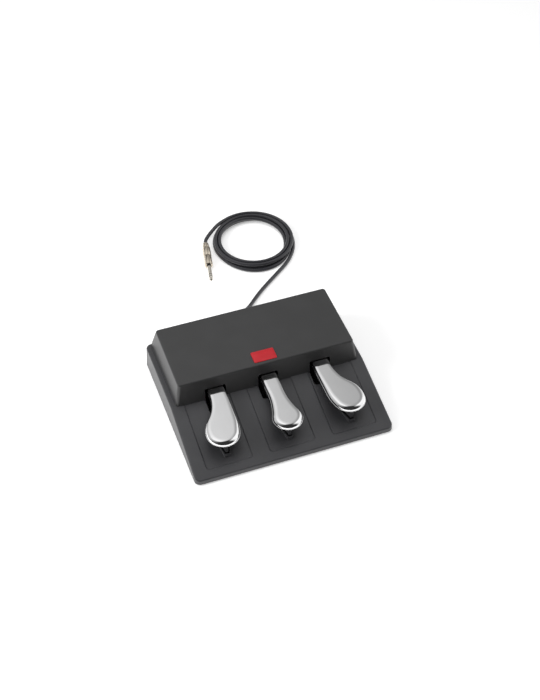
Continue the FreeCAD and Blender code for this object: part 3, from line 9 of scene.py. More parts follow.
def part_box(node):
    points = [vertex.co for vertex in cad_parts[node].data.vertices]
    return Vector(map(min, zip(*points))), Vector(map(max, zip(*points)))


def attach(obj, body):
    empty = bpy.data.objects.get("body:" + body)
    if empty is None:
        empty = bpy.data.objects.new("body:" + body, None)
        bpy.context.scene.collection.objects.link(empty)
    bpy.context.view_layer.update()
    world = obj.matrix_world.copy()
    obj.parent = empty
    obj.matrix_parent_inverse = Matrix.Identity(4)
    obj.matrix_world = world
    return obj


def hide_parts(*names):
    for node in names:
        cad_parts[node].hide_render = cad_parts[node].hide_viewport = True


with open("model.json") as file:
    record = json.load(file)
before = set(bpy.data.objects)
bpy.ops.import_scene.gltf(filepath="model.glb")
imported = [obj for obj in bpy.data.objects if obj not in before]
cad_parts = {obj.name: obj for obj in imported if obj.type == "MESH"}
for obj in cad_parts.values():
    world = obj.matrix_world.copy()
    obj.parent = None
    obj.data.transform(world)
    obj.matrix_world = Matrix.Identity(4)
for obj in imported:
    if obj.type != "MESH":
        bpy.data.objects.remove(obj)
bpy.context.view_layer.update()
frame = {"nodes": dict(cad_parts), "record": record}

# Sizes below are in millimetres and are scaled when a mesh or curve is made. The
# origin is on the floor under the middle of the housing, +X right, +Y back, +Z up.
MM = 0.001
SIDES = {"left": -1, "centre": 0, "right": 1}


# Nodes written as Python expressions

class Value:
    """A number that changes from place to place: expressions on it add Math nodes."""

    def __init__(self, graph, socket):
        self.graph = graph
        self.socket = socket

    def math(self, operation, first, second):
        return self.graph.add("ShaderNodeMath", {"operation": operation}, {0: first, 1: second})

    def __add__(self, other):
        return self.math("ADD", self, other)

    __radd__ = __add__

    def __sub__(self, other):
        return self.math("SUBTRACT", self, other)

    def __rsub__(self, other):
        return self.math("SUBTRACT", other, self)

    def __mul__(self, other):
        return self.math("MULTIPLY", self, other)

    __rmul__ = __mul__

    def over(self, low, high):
        """0 up to low, 1 from high, and smooth between them."""
        limits = {"Value": self, "From Min": low, "From Max": high}
        return self.graph.add("ShaderNodeMapRange", {"interpolation_type": "SMOOTHSTEP"}, limits)


class Graph:
    """A node tree that is built through one method."""

    def __init__(self, tree):
        self.tree = tree
        self.tree.nodes.clear()

    def add(self, kind, settings=None, values=None, output=0):
        node = self.tree.nodes.new(kind)
        for name, setting in (settings or {}).items():
            if name == "stops":
                self.set_stops(node.color_ramp, setting)
            else:
                setattr(node, name, setting)
        for name, value in (values or {}).items():
            if isinstance(value, Value):
                self.tree.links.new(value.socket, node.inputs[name])
            else:
                node.inputs[name].default_value = value
        return Value(self, node.outputs[output] if node.outputs else None)

    @staticmethod
    def set_stops(ramp, stops):
        while len(ramp.elements) < len(stops):
            ramp.elements.new(1.0)
        for element, (position, colour) in zip(ramp.elements, stops):
            element.position = position
            element.color = (*colour, 1.0)

    def likeness(self, first, second):
        """Cosine of the angle between two directions."""
        return self.add("ShaderNodeVectorMath", {"operation": "DOT_PRODUCT"}, {0: first, 1: second}, "Value")

    def toward(self, heading, direction, narrow, wide):
        """1 within narrow degrees of a direction, falling to 0 at wide degrees from it."""
        aim = Vector(direction).normalized()
        return self.likeness(heading, aim).over(math.cos(math.radians(wide)), math.cos(math.radians(narrow)))


class Finish(Graph):
    """One named material of the pedal unit."""

    def __init__(self, name):
        self.material = bpy.data.materials.new(name)
        self.material.use_nodes = True
        super().__init__(self.material.node_tree)
        self.place = self.add("ShaderNodeTexCoord", output="Object")

    def grain(self, size, detail=2.0, stretch=None):
        """Noise with grains of about size millimetres, drawn out along an axis by stretch."""
        place = self.place
        if stretch:
            drawn_out = {"Vector": place, "Scale": stretch}
            place = self.add("ShaderNodeMapping", {"vector_type": "TEXTURE"}, drawn_out)
        values = {"Vector": place, "Scale": 1 / (size * MM), "Detail": detail}
        return self.add("ShaderNodeTexNoise", None, values)

    def cells(self, size, feature="F1"):
        """Distances in a pattern of cells of about size millimetres."""
        values = {"Vector": self.place, "Scale": 1 / (size * MM)}
        return self.add("ShaderNodeTexVoronoi", {"feature": feature}, values, "Distance")

    def blend(self, share, first, second):
        """A colour between two colours."""
        ends = [(*end, 1.0) if isinstance(end, tuple) else end for end in (first, second)]
        values = {"Factor": share, 6: ends[0], 7: ends[1]}
        return self.add("ShaderNodeMix", {"data_type": "RGBA"}, values, 2)

    def relief(self, height, depth, under=None):
        """Normal of a surface whose height changes by depth millimetres."""
        values = {"Height": height, "Strength": 1.0, "Distance": depth * MM}
        if under is not None:
            values["Normal"] = under
        return self.add("ShaderNodeBump", None, values)

    def rounded(self, radius):
        """Normal that turns smoothly over edges, as if they had a radius in millimetres."""
        return self.add("ShaderNodeBevel", {"samples": 6}, {"Radius": radius * MM})

    def bent(self, rounded):
        """0 on open surfaces and up to 1 along edges."""
        normal = self.add("ShaderNodeNewGeometry", output="Normal")
        return (1.0 - self.likeness(rounded, normal)).over(0.01, 0.25)

    def surface(self, **values):
        """Principled shader: keyword base_color is its Base Color, coat_ior its Coat IOR."""
        named = {}
        for key, value in values.items():
            name = key.replace("_", " ").title().replace("Ior", "IOR")
            named[name] = (*value, 1.0) if isinstance(value, tuple) and len(value) == 3 else value
        shader = self.add("ShaderNodeBsdfPrincipled", None, named)
        self.add("ShaderNodeOutputMaterial", None, {"Surface": shader})
        return self.material


# Camera and studio

CAMERA_AZIMUTH = math.radians(-20.083)
CAMERA_ELEVATION = math.radians(48.062)
CAMERA_ROLL = math.radians(0.255)
CAMERA_TARGET = Vector((0.0, 0.0, 0.030))
CAMERA_DISTANCE = 1.79706
CAMERA_SENSOR = 36.0
CAMERA_LENS = 63.03
CAMERA_SHIFT = (0.0049, 0.0454)

# Strengths that the gloss mirrors, and the fill that dull surfaces get
ROOM_DARK = 0.03
WALL_LOW = 0.58
WALL_RISE = 0.46
WINDOW_STRENGTH = 1.05
SILL_SHADE = 0.85
WALL_SHADE = 0.9
DULL_FILL = 0.40

# Floor, in metres
FLOOR_HALF = 4.0
FLOOR_DROP = 0.0002
FLOOR_END_Y = (-0.46, -0.40)
FLOOR_GREY = 0.86
FLOOR_LIFT_CAMERA = 0.30
FLOOR_LIFT_GLOSS = 0.35


def photo_camera():
    level = math.cos(CAMERA_ELEVATION)
    back = Vector((math.sin(CAMERA_AZIMUTH) * level, -math.cos(CAMERA_AZIMUTH) * level,
                   math.sin(CAMERA_ELEVATION)))
    right = Vector((math.cos(CAMERA_AZIMUTH), math.sin(CAMERA_AZIMUTH), 0.0))
    up = back.cross(right)
    across = right * math.cos(CAMERA_ROLL) + up * math.sin(CAMERA_ROLL)
    upward = up * math.cos(CAMERA_ROLL) - right * math.sin(CAMERA_ROLL)
    data = bpy.data.cameras.new("photo_camera")
    data.sensor_width = CAMERA_SENSOR
    data.lens = CAMERA_LENS
    data.shift_x, data.shift_y = CAMERA_SHIFT
    camera = bpy.data.objects.new("photo_camera", data)
    turn = Matrix((across, upward, back)).transposed().to_4x4()
    camera.matrix_world = Matrix.Translation(CAMERA_TARGET + back * CAMERA_DISTANCE) @ turn
    bpy.context.scene.collection.objects.link(camera)
    bpy.context.scene.camera = camera


def studio_world():
    """Grey fill for dull surfaces, white behind the object, and in its gloss a bright room with a dark front.
    Angles are in degrees, leftward and rightward from the front and upward from the horizon."""
    world = bpy.data.worlds.new("studio")
    world.use_nodes = True
    graph = Graph(world.node_tree)
    heading = graph.add("ShaderNodeTexCoord", output="Generated")
    x, y, z = (graph.add("ShaderNodeSeparateXYZ", None, {"Vector": heading}, axis) for axis in "XYZ")
    path = graph.add("ShaderNodeLightPath", output="Is Camera Ray")
    glossy = graph.add("ShaderNodeLightPath", output="Is Glossy Ray")
    rightward = x.math("ARCTAN2", x, -1.0 * y) * math.degrees(1.0)
    leftward = -1.0 * rightward
    upward = z.math("ARCSINE", z, 0.0) * math.degrees(1.0)
    left_side = leftward.over(45, 125) + rightward.over(125, 175)
    sill = leftward.over(30, 50) * (1.0 - leftward.over(80, 112)) * (1.0 - upward.over(10, 32))
    walls = left_side * (WALL_LOW + WALL_RISE * upward.over(37, 68)) * (1.0 - SILL_SHADE * sill)
    window = rightward.over(40, 68) * (1.0 - rightward.over(108, 150)) * (1.0 - upward.over(60, 76))
    back_sill = (leftward.over(142, 160) + rightward.over(158, 170)) * (1.0 - upward.over(14, 34))
    overhead = graph.toward(heading, (0.22, -0.06, 1.0), 9, 20)
    shaded = walls * (1.0 - WALL_SHADE * overhead) * (1.0 - WALL_SHADE * back_sill)
    room = ROOM_DARK + shaded + WINDOW_STRENGTH * window
    level = glossy * room + (1.0 - glossy) * DULL_FILL
    strength = path.math("MAXIMUM", path, level * (1.0 - path))
    light = graph.add("ShaderNodeBackground", None, {"Color": (1.0, 1.0, 1.0, 1.0), "Strength": strength})
    graph.add("ShaderNodeOutputWorld", None, {"Surface": light})
    bpy.context.scene.world = world


def pale_floor():
    """White floor that keeps the shadow; camera and chrome see it lifted to white, and for the chrome it
    ends a little before the object."""
    finish = Finish("pale_floor")
    camera = finish.add("ShaderNodeLightPath", output="Is Camera Ray")
    glossy = finish.add("ShaderNodeLightPath", output="Is Glossy Ray")
    laid = finish.add("ShaderNodeSeparateXYZ", None, {"Vector": finish.place}, "Y").over(*FLOOR_END_Y)
    lift = FLOOR_LIFT_CAMERA * camera + FLOOR_LIFT_GLOSS * glossy
    paper = finish.add("ShaderNodeBsdfDiffuse", None, {"Color": (FLOOR_GREY, FLOOR_GREY, FLOOR_GREY, 1.0)})
    glow = finish.add("ShaderNodeEmission", None, {"Color": (1.0, 1.0, 1.0, 1.0), "Strength": lift})
    both = finish.add("ShaderNodeAddShader", None, {0: paper, 1: glow})
    dark = finish.add("ShaderNodeEmission", None, {"Color": (1.0, 1.0, 1.0, 1.0), "Strength": ROOM_DARK})
    seen = finish.add("ShaderNodeMixShader", None, {0: glossy * (1.0 - laid), 1: both, 2: dark})
    finish.add("ShaderNodeOutputMaterial", None, {"Surface": seen})
    corners = [(sx * FLOOR_HALF, sy * FLOOR_HALF, 0) for sx, sy in ((-1, -1), (1, -1), (1, 1), (-1, 1))]
    mesh = bpy.data.meshes.new("floor")
    mesh.from_pydata(corners, [], [(0, 1, 2, 3)])
    floor = bpy.data.objects.new("floor", mesh)
    floor.location.z = -FLOOR_DROP
    floor.data.materials.append(finish.material)
    bpy.context.scene.collection.objects.link(floor)


def soft_lamp(name, place, aim, size, power):
    data = bpy.data.lights.new(name, "AREA")
    data.shape = "DISK"
    data.size = size
    data.energy = power
    lamp = bpy.data.objects.new(name, data)
    lamp.location = place
    lamp.rotation_euler = (Vector(aim) - Vector(place)).to_track_quat("-Z", "Y").to_euler()
    lamp.visible_glossy = False
    bpy.context.scene.collection.objects.link(lamp)


# Finishes

def moulded(name, colour, roughness=0.42, grain=0.45, depth=0.012, edge_highlight=0.05):
    """Fine-textured moulded plastic or rubber, a little smoother along its edges and lighter there by a
    painted highlight.
    """
    finish = Finish(name)
    fine = finish.grain(grain)
    cloud = finish.grain(40.0)
    rounded = finish.rounded(0.7)
    edges = finish.bent(rounded)
    deep = tuple(c * 0.95 for c in colour)
    pale = tuple(c * 1.05 for c in colour)
    # Painted highlight: the colour is lightened along rounded edges, as if light caught them.
    lit = tuple(c + edge_highlight for c in colour)
    base = finish.blend(edges * 0.6, finish.blend(cloud.over(0.35, 0.65), deep, pale), lit)
    rough = roughness + 0.05 * (cloud - 0.5) + 0.10 * (fine - 0.5) - 0.10 * edges
    return finish.surface(base_color=base, roughness=rough, normal=finish.relief(fine, depth, rounded),
                          specular_ior_level=0.62)


def polished_chrome(name):
    finish = Finish(name)
    smear = finish.grain(24.0, 2.0)
    hairlines = finish.grain(0.35, 1.0, (1.0, 14.0, 1.0))
    base = finish.blend(smear.over(0.3, 0.7), (0.86, 0.86, 0.865), (0.88, 0.88, 0.885))
    rough = 0.075 + 0.02 * smear.over(0.4, 0.8) + 0.015 * hairlines
    normal = finish.relief(hairlines, 0.0004)
    return finish.surface(base_color=base, metallic=1.0, roughness=rough, normal=normal)


def metal(name, colour, roughness=0.3, grain=0.3, depth=0.003, stretch=None, tarnish=0.85):
    """Bare or plated metal with a ground or turned grain and slightly duller patches."""
    finish = Finish(name)
    lines = finish.grain(grain, 2.0, stretch)
    patches = finish.grain(9.0, 3.0)
    dull = tuple(c * tarnish for c in colour)
    base = finish.blend(patches.over(0.4, 0.75), colour, dull)
    rough = roughness + 0.12 * (lines - 0.5) + 0.10 * (patches - 0.5)
    return finish.surface(base_color=base, metallic=1.0, roughness=rough, normal=finish.relief(lines, depth))


def plated_sheet(name, colour):
    """Zinc-plated sheet with faint crystal patches."""
    finish = Finish(name)
    crystals = finish.cells(7.0)
    lines = finish.grain(0.4, 2.0, (1.0, 8.0, 1.0))
    dull = tuple(c * 0.8 for c in colour)
    base = finish.blend(crystals.over(0.1, 0.7), colour, dull)
    rough = 0.34 + 0.16 * crystals + 0.06 * (lines - 0.5)
    return finish.surface(base_color=base, metallic=1.0, roughness=rough, normal=finish.relief(lines, 0.002))


def red_enamel(name):
    """Glossy red enamel under a clear coat, with a trace of orange peel."""
    finish = Finish(name)
    peel = finish.grain(1.6, 1.0)
    cloud = finish.grain(9.0)
    base = finish.blend(cloud.over(0.35, 0.7), (0.40, 0.004, 0.010), (0.44, 0.006, 0.014))
    return finish.surface(base_color=base, roughness=0.36 + 0.06 * (peel - 0.5), coat_weight=0.15,
                          coat_roughness=0.12, normal=finish.relief(peel, 0.003))


def masked_board(name):
    """Green board with lighter copper tracks under the mask and pale grains of glass weave."""
    finish = Finish(name)
    tracks = finish.cells(3.2, "DISTANCE_TO_EDGE")
    weave = finish.grain(0.5)
    lines = 1.0 - tracks.over(0.03, 0.09)
    base = finish.blend(lines, (0.012, 0.085, 0.030), (0.035, 0.20, 0.06))
    rough = 0.32 + 0.15 * (weave - 0.5)
    return finish.surface(base_color=base, roughness=rough, normal=finish.relief(lines + 0.3 * weave, 0.02))


finishes = {
    "deck_plastic": moulded("deck_plastic", (0.040, 0.040, 0.043), 0.38, 0.30, 0.008),
    "hood_plastic": moulded("hood_plastic", (0.028, 0.028, 0.0285), 0.38, 0.30, 0.008),
    "lever_plastic": moulded("lever_plastic", (0.034, 0.034, 0.036), 0.34, 0.4, 0.004, 0.04),
    "pedal_chrome": polished_chrome("pedal_chrome"),
    "badge_red": red_enamel("badge_red"),
    "plate_steel": moulded("plate_steel", (0.035, 0.035, 0.037), 0.50, 0.7, 0.03),
    "bracket_steel": plated_sheet("bracket_steel", (0.60, 0.62, 0.65)),
    "foot_rubber": moulded("foot_rubber", (0.022, 0.022, 0.022), 0.72, 0.6, 0.02, 0.02),
    "screw_steel": metal("screw_steel", (0.10, 0.10, 0.11), 0.42, 0.25, 0.004),
    "pin_steel": metal("pin_steel", (0.62, 0.62, 0.64), 0.24, 0.3, 0.002, (20.0, 1.0, 1.0)),
    "bush_acetal": moulded("bush_acetal", (0.72, 0.70, 0.64), 0.38, 0.5, 0.006, 0.02),
    "spring_steel": metal("spring_steel", (0.50, 0.50, 0.52), 0.28, 0.2, 0.002),
    "seat_nylon": moulded("seat_nylon", (0.05, 0.05, 0.05), 0.5),
    "gear_acetal": moulded("gear_acetal", (0.68, 0.66, 0.60), 0.36, 0.5, 0.006, 0.02),
    "sensor_shell": moulded("sensor_shell", (0.020, 0.050, 0.160), 0.40),
    "shaft_brass": metal("shaft_brass", (0.72, 0.50, 0.20), 0.26, 0.25, 0.002, (1.0, 12.0, 12.0)),
    "pad_rubber": moulded("pad_rubber", (0.09, 0.09, 0.09), 0.78, 0.8, 0.04, 0.03),
    "board_green": masked_board("board_green"),
    "chip_black": moulded("chip_black", (0.015, 0.015, 0.016), 0.46, 0.25, 0.008, 0.02),
    "socket_white": moulded("socket_white", (0.66, 0.65, 0.58), 0.40, 0.4, 0.006, 0.03),
    "standoff_brass": metal("standoff_brass", (0.70, 0.50, 0.22), 0.30, 0.25, 0.002),
    "lead_jacket": moulded("lead_jacket", (0.055, 0.055, 0.060), 0.46, 0.5, 0.006, 0.02),
    "cord_jacket": moulded("cord_jacket", (0.026, 0.026, 0.030), 0.30, 0.4, 0.002, 0.0),
    "relief_rubber": moulded("relief_rubber", (0.018, 0.018, 0.019), 0.52, 0.5, 0.012, 0.03),
    "plug_nickel": metal("plug_nickel", (0.74, 0.66, 0.55), 0.24, 0.25, 0.002, None, 0.9),
    "plug_contact": metal("plug_contact", (0.80, 0.76, 0.68), 0.14, 0.25, 0.001, None, 0.92),
    "plug_black": moulded("plug_black", (0.014, 0.014, 0.014), 0.28, 0.4, 0.004, 0.0),
}


# Meshes

def add_piece(name, points, faces, body, slot, replaced=(), crease=32.0):
    mesh = bpy.data.meshes.new(name)
    mesh.from_pydata([Vector(point) * MM for point in points], [], faces)
    work = bmesh.new()
    work.from_mesh(mesh)
    bmesh.ops.recalc_face_normals(work, faces=work.faces)
    work.to_mesh(mesh)
    work.free()
    mesh.polygons.foreach_set("use_smooth", [True] * len(mesh.polygons))
    mesh.set_sharp_from_angle(angle=math.radians(crease))
    mesh.materials.append(finishes[slot])
    piece = bpy.data.objects.new(name, mesh)
    bpy.context.scene.collection.objects.link(piece)
    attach(piece, body)
    if replaced:
        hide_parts(*replaced)
    return piece


def skin(rings, first=0):
    """Points and faces over closed rings of equal count, closed at both ends; first numbers the points."""
    count = len(rings[0])
    points = [point for ring in rings for point in ring]
    faces = []
    for k in range(len(rings) - 1):
        low = first + k * count
        high = low + count
        faces += [(low + i, low + (i + 1) % count, high + (i + 1) % count, high + i) for i in range(count)]
    faces.append(tuple(range(first + count - 1, first - 1, -1)))
    faces.append(tuple(range(first + len(points) - count, first + len(points))))
    return points, faces


ROUND_SIDES = 56


def turned(profiles, start, heading):
    """Points and faces of solids of revolution from lists of (along, radius) on one axis."""
    along_axis = Vector(heading).normalized()
    across = along_axis.cross(Vector((0, 0, 1))).normalized()
    upward = across.cross(along_axis)
    points, faces = [], []
    for profile in profiles:
        rings = []
        for along, radius in profile:
            turns = [2 * math.pi * i / ROUND_SIDES for i in range(ROUND_SIDES)]
            middle = Vector(start) + along_axis * along
            rings.append([middle + (across * math.cos(t) + upward * math.sin(t)) * radius for t in turns])
        more_points, more_faces = skin(rings, len(points))
        points += more_points
        faces += more_faces
    return points, faces


# Pedal caps

NECK_PITCH = 80.5
CAP_BACK_Y = 8.0
CAP_REF_Y = -8.0
CAP_REF_Z = 54.0
CAP_TILT = math.radians(1.5)
CAP_HEIGHT = 7.2
CAP_LIP = 0.5
CAP_LIP_HEIGHT = 1.0
CAP_WALL = 2.2
CAP_INNER_HEIGHT = 4.4
CAP_EDGE_NECK = 2.0
CAP_EDGE_TIP = 6.0
CAP_EDGE_START_Y = -30.0
CAP_EDGE_FULL_Y = -84.0
CAP_CROWN_SLOPE = math.radians(6.0)
CAP_CROWN_REACH = 3.8


def arc_rows(hub, radius, start, end, count, outward=1):
    """Rows (x, y, normal x, normal y) along an arc, without its first point; angles in degrees."""
    rows = []
    for i in range(1, count + 1):
        angle = math.radians(start + (end - start) * i / count)
        c, s = math.cos(angle), math.sin(angle)
        rows.append((hub[0] + radius * c, hub[1] + radius * s, outward * c, outward * s))
    return rows


def centre_cap_rows():
    half, flare_y, tip_y, tip_radius = 12.2, -38.0, -87.5, 22.0
    length = flare_y - tip_y
    flare = (half ** 2 + length ** 2 - tip_radius ** 2) / (2 * (tip_radius - half))
    meet = math.degrees(math.atan2(length, half + flare))
    rows = [(half, CAP_BACK_Y, 1, 1)] + [(half, y, 1, 0) for y in (-6, -14, -22, -30, flare_y)]
    rows += arc_rows((half + flare, flare_y), flare, 180, 180 + meet, 16, -1)
    rows += arc_rows((0, tip_y), tip_radius, meet, -90, 26)
    return rows + [(-x, y, -nx, ny) for x, y, nx, ny in reversed(rows[:-1])]


def side_cap_rows():
    """Plan of the right pedal, measured from the middle of its neck."""
    half, tip, radius, inner_bend_y = 12.8, Vector((14.5, -84.0)), 24.0, -66.0
    outer_arc, flare_arc = 43.0, 60.0
    reach = tip.x + half
    inner_radius = (reach ** 2 + (tip.y - inner_bend_y) ** 2 - radius ** 2) / (2 * (reach - radius))
    inner_hub = Vector((-half + inner_radius, inner_bend_y))
    outer_hub = Vector((tip.x - outer_arc + radius, tip.y))
    across = half + flare_arc - outer_hub.x
    along = math.sqrt((flare_arc + outer_arc) ** 2 - across ** 2)
    flare_hub = Vector((half + flare_arc, tip.y + along))
    swell = math.degrees(math.atan2(along, across))
    past = tip - inner_hub
    touch = math.degrees(math.atan2(past.y, past.x)) % 360
    rows = [(half, CAP_BACK_Y, 1, 1), (half, -6, 1, 0), (half, flare_hub.y, 1, 0)]
    rows += arc_rows(flare_hub, flare_arc, 180, 180 + swell, 14, -1)
    rows += arc_rows(outer_hub, outer_arc, swell, 0, 16)
    rows += arc_rows(tip, radius, 360, touch, 34)
    rows += arc_rows(inner_hub, inner_radius, touch, 180, 8)
    rows += [(-half, y, -1, 0) for y in (-54, -42, -30, -18, -6)]
    return rows + [(-half, CAP_BACK_Y, -1, 1)]


def on_cap(x, y, height, side):
    """A point of a pedal, height above the cap's rim, in the tilt of the pedals."""
    dy = y - CAP_REF_Y
    dz = height - CAP_HEIGHT
    tilted_y = CAP_REF_Y + dy * math.cos(CAP_TILT) - dz * math.sin(CAP_TILT)
    tilted_z = CAP_REF_Z + dy * math.sin(CAP_TILT) + dz * math.cos(CAP_TILT)
    mirror = -1 if side < 0 else 1
    return (mirror * x + side * NECK_PITCH, tilted_y, tilted_z)


def cap_edge_radius(y):
    """Radius of a cap's top edge, small along the neck and growing towards the tip."""
    share = (CAP_EDGE_START_Y - y) / (CAP_EDGE_START_Y - CAP_EDGE_FULL_Y)
    return CAP_EDGE_NECK + (CAP_EDGE_TIP - CAP_EDGE_NECK) * min(1.0, max(0.0, share))


def cap_profile(radius):
    """Inset and height from the hollow's roof round the lip, edge and crown to the flat top."""
    inner = CAP_LIP + CAP_WALL
    rows = [(inner, CAP_INNER_HEIGHT), (inner, 0.15), (inner - 0.15, 0.0), (0.50, 0.0), (0.25, 0.07),
            (0.07, 0.24), (0.0, 0.48), (0.05, 0.72), (0.19, 0.91), (0.36, 1.0), (CAP_LIP - 0.03, 1.04)]
    crown = CAP_CROWN_REACH * math.tan(CAP_CROWN_SLOPE) / 2
    hub_height = CAP_HEIGHT - crown - radius * math.cos(CAP_CROWN_SLOPE)
    low = math.asin(max(0.0, CAP_LIP_HEIGHT + 0.1 - hub_height) / radius)
    high = math.pi / 2 - CAP_CROWN_SLOPE
    steps = 16
    for i in range(steps + 1):
        angle = low + (high - low) * i / steps
        inset = CAP_LIP + radius * (math.cos(low) - math.cos(angle))
        rows.append((inset, hub_height + radius * math.sin(angle)))
    rows += [(inset + CAP_CROWN_REACH * share, CAP_HEIGHT - crown * (1 - share) ** 2)
             for share in (0.15, 0.3, 0.45, 0.6, 0.75, 0.9, 1.0)]
    return rows


def pedal_cap(name, side):
    outline = side_cap_rows() if side else centre_cap_rows()
    profiles = [cap_profile(cap_edge_radius(y)) for x, y, nx, ny in outline]
    rings = [[on_cap(x - nx * inset, y - ny * inset, height, side)
              for (x, y, nx, ny), (inset, height) in zip(outline, level)] for level in zip(*profiles)]
    points, faces = skin(rings)
    add_piece("chrome_cap_" + name, points, faces, "pedal_" + name, "pedal_chrome", ["pedal_cap_" + name],
              40.0)


# Badge

ROOF_FRONT = (-3.0, 73.3)
ROOF_BACK = (112.0, 76.3)
BADGE_PLACE = (0.2, 12.9)
BADGE_SIZE = (34.8, 20.7)
BADGE_CORNER = 2.0
BADGE_POCKET = 0.8


def badge():
    """Bare enamel plate with rounded edges and a low crown, set in the roof's pocket."""
    slope = math.atan2(ROOF_BACK[1] - ROOF_FRONT[1], ROOF_BACK[0] - ROOF_FRONT[0])
    roof_z = ROOF_FRONT[1] + math.tan(slope) * (BADGE_PLACE[1] - ROOF_FRONT[0])
    # arc_rows leaves out an arc's first point, so each corner starts one step early
    step_early = 12.86
    rings = []
    for inset, height in ((0.15, 0.0), (0.0, 0.15), (0.0, 1.05), (0.10, 1.25), (0.30, 1.40), (0.62, 1.49),
                          (1.1, 1.54), (3.0, 1.67), (6.0, 1.77), (9.0, 1.80)):
        half_x, half_y = (size / 2 - inset for size in BADGE_SIZE)
        corner = max(BADGE_CORNER - inset, 0.25)
        ring = []
        for quarter, (sx, sy) in enumerate(((1, 1), (-1, 1), (-1, -1), (1, -1))):
            hub = (sx * (half_x - corner), sy * (half_y - corner))
            ring += arc_rows(hub, corner, 90 * quarter - step_early, 90 * quarter + 90, 8)
        rings.append([(BADGE_PLACE[0] + x,
                       BADGE_PLACE[1] + y * math.cos(slope) - (height - BADGE_POCKET) * math.sin(slope),
                       roof_z + y * math.sin(slope) + (height - BADGE_POCKET) * math.cos(slope))
                      for x, y, nx, ny in ring])
    points, faces = skin(rings)
    add_piece("badge_plate", points, faces, "housing", "badge_red", ["badge"], 50.0)


# Cord and plug

CORD_RADIUS = 3.0
CORD_EXIT = (25.0, 146.9, 16.0)
COIL_MIDDLE = (93.1, 324.9)
COIL_OUTER_RADIUS = 68.4
COIL_PITCH = 6.6
COIL_LAYER = 6.5
COIL_FIRST = math.radians(-52.0)
COIL_LAST = math.radians(122.0 + 360 * 4)
COIL_BULGE = 8.0
COIL_BULGE_ANGLE = math.radians(-92.0)
COIL_BULGE_SPAN = math.radians(78.0)
COIL_POINTS_PER_TURN = 20
PLUG_SHAFT_RADIUS = 3.175
PLUG_REAR = Vector((16.3, 342.6, 6.5))
PLUG_HEADING = Vector((-0.204, -0.979, 0.0)).normalized()
RELIEF_FACE_Y = 126.37
RELIEF_RIBS = 6


def coil_point(angle):
    """Centre of the cord in the coil, wound inward on the floor and outward again on top."""
    inmost = (COIL_FIRST + COIL_LAST) / 2
    half_climb = math.pi / 2
    away = abs(angle - inmost)
    run = away ** 2 / (2 * half_climb) + half_climb / 2 if away < half_climb else away
    radius = COIL_OUTER_RADIUS - COIL_PITCH * (COIL_LAST - inmost - run) / (2 * math.pi)
    share = min(1.0, max(0.0, (angle - inmost + half_climb) / (2 * half_climb)))
    climb = share ** 2 * (3 - 2 * share)
    radius += coil_bulge(angle) * (1 - climb)
    return Vector((COIL_MIDDLE[0] + radius * math.cos(angle), COIL_MIDDLE[1] + radius * math.sin(angle),
                   CORD_RADIUS + climb * COIL_LAYER))


def coil_bulge(angle):
    """How much further out the floor layer's turns lie at the front of the coil."""
    away = (angle - COIL_BULGE_ANGLE + math.pi) % (2 * math.pi) - math.pi
    share = min(1.0, abs(away) / COIL_BULGE_SPAN)
    return COIL_BULGE * math.cos(share * math.pi / 2) ** 2


def coil_heading(angle):
    little = math.radians(0.5)
    return (coil_point(angle + little) - coil_point(angle - little)).normalized()


def cord_route():
    steps = round((COIL_LAST - COIL_FIRST) / (2 * math.pi) * COIL_POINTS_PER_TURN)
    turn = (COIL_LAST - COIL_FIRST) / steps
    coil = [coil_point(COIL_FIRST + turn * i) for i in range(steps + 1)]
    heading_in = coil_heading(COIL_FIRST)
    heading_out = coil_heading(COIL_LAST)
    lead = [CORD_EXIT, (25.0, 157.0, 16.0), (26.4, 166.5, 12.8), (30.2, 174.4, 7.8), (37.6, 182.0, 4.0),
            (49.5, 194.4, 3.0), (66.0, 209.8, 3.0), (86.0, 225.6, 3.0), (106.5, 241.2, 3.0),
            (120.4, 251.7, 3.0), coil[0] - heading_in * 12.0]
    tail = [coil[-1] + heading_out * 11.0, (37.8, 369.6, 8.6), (29.4, 362.6, 7.7), (22.9, 355.9, 6.9),
            PLUG_REAR - PLUG_HEADING * 7.0, PLUG_REAR + PLUG_HEADING * 3.0]
    return lead + coil + tail


def cord(plug):
    data = bpy.data.curves.new("cord", "CURVE")
    data.dimensions = "3D"
    data.bevel_depth = CORD_RADIUS * MM
    data.bevel_resolution = 5
    data.resolution_u = 6
    data.use_fill_caps = True
    route = cord_route()
    spline = data.splines.new("NURBS")
    spline.points.add(len(route) - 1)
    for point, place in zip(spline.points, route):
        point.co = (*(Vector(place) * MM), 1.0)
    spline.order_u = 3
    spline.use_endpoint_u = True
    data.materials.append(finishes["cord_jacket"])
    piece = bpy.data.objects.new("cord", data)
    bpy.context.scene.collection.objects.link(piece)
    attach(piece, "housing")
    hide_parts("cord_lead", "cord_coil", "cord_tail")


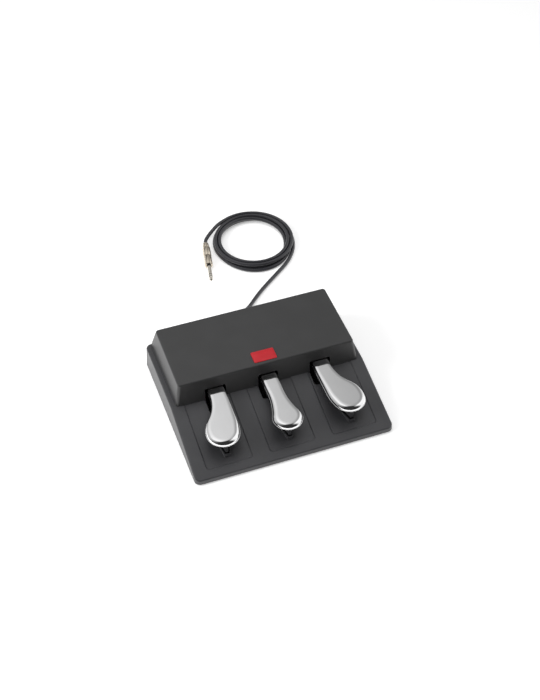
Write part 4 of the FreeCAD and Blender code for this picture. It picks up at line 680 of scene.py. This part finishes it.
def plug_pieces():
    """Turned jack plug: rear cap, grooved barrel, insulators, and the sleeve, ring and tip."""
    shaft = PLUG_SHAFT_RADIUS
    groove = shaft - 0.35
    band = shaft - 0.03
    cap = [(0.0, 3.3), (0.0, 4.2), (0.2, 4.65), (0.6, 4.9), (1.2, 5.05), (11.0, 5.95), (11.4, 5.85),
           (11.6, 5.4), (12.0, 5.2)]
    barrel = [(12.0, 5.0), (12.0, 5.9), (12.2, 6.3), (12.7, 6.5), (31.2, 6.5), (31.5, 6.35), (31.6, 5.9),
              (32.6, 5.9), (32.7, 6.35), (33.0, 6.5), (51.6, 6.5), (52.5, 6.25), (53.0, 5.7), (53.0, 4.6)]
    collar = [(53.0, 3.4), (53.0, 3.9), (54.3, 3.9), (54.6, 3.7), (54.6, 3.2)]
    sleeve = [(54.6, 2.6), (54.6, shaft), (74.3, shaft), (74.4, 3.05)]
    ring = [(75.3, 3.05), (75.4, shaft), (79.4, shaft), (79.5, 3.05)]
    tip = [(80.4, 3.05), (80.5, shaft), (81.2, shaft), (82.0, 2.75), (82.8, 2.35), (83.3, 2.3), (83.9, 2.45),
           (84.7, 2.85), (85.3, 3.0), (85.9, 2.95), (86.8, 2.5), (87.8, 1.75), (88.6, 0.9), (88.9, 0.45),
           (89.0, 0.1)]
    bands = [[(place, groove), (place, band), (place + 0.9, band), (place + 0.9, groove)]
             for place in (74.4, 79.5)]
    pieces = []
    for name, profiles, slot in (("plug_rear_cap", [cap], "plug_nickel"),
                                 ("plug_barrel", [barrel], "plug_nickel"),
                                 ("plug_insulators", [collar] + bands, "plug_black"),
                                 ("plug_shaft", [sleeve, ring, tip], "plug_contact")):
        points, faces = turned(profiles, PLUG_REAR, PLUG_HEADING)
        pieces.append(add_piece("turned_" + name, points, faces, "housing", slot, [name]))
    return pieces


def strain_relief():
    """Ribbed rubber sleeve where the cord leaves the back wall."""
    inner_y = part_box("strain_relief")[0].y / MM
    face = RELIEF_FACE_Y
    exit_y = CORD_EXIT[1]
    profile = [(inner_y, 4.0), (inner_y, 5.4), (inner_y + 0.3, 5.6), (face, 5.6), (face, 7.2),
               (face + 0.3, 7.6), (face + 1.5, 7.6), (face + 2.1, 7.2), (face + 2.2, 5.6)]
    start = face + 3.4
    end = exit_y - 1.2
    step = (end - start) / RELIEF_RIBS
    for i in range(RELIEF_RIBS):
        at = start + i * step
        outer = 5.55 - 1.5 * (at - face) / (exit_y - face)
        inner = outer - 0.85
        profile += [(at, outer), (at + 0.15, outer - 0.12), (at + 0.2, inner), (at + 1.1, inner),
                    (at + 1.15, outer - 0.20), (at + 1.35, outer - 0.10)]
    profile += [(146.5, 4.05), (146.87, 3.75), (146.87, 3.0)]
    points, faces = turned([profile], (CORD_EXIT[0], 0, CORD_EXIT[2]), (0, 1, 0))
    return add_piece("ribbed_strain_relief", points, faces, "housing", "relief_rubber", ["strain_relief"])


# Pieces that keep their solids

def dress_solids():
    for part in frame["record"]["subparts"]:
        node = frame["nodes"][part["node"]]
        for place in node.material_slots:
            place.material = finishes[part["material_slot"]]


photo_camera()
studio_world()
pale_floor()
soft_lamp("overhead", place=(0.15, 0.25, 1.9), aim=(0.0, 0.05, 0.0), size=1.8, power=18.0)
soft_lamp("window_side", place=(-1.5, 0.15, 0.85), aim=(0.0, 0.05, 0.03), size=1.3, power=24.0)

dress_solids()
for side_name, side_sign in SIDES.items():
    pedal_cap(side_name, side_sign)
badge()
cord(plug_pieces() + [strain_relief()])

bpy.context.scene.view_settings.view_transform = "Standard"
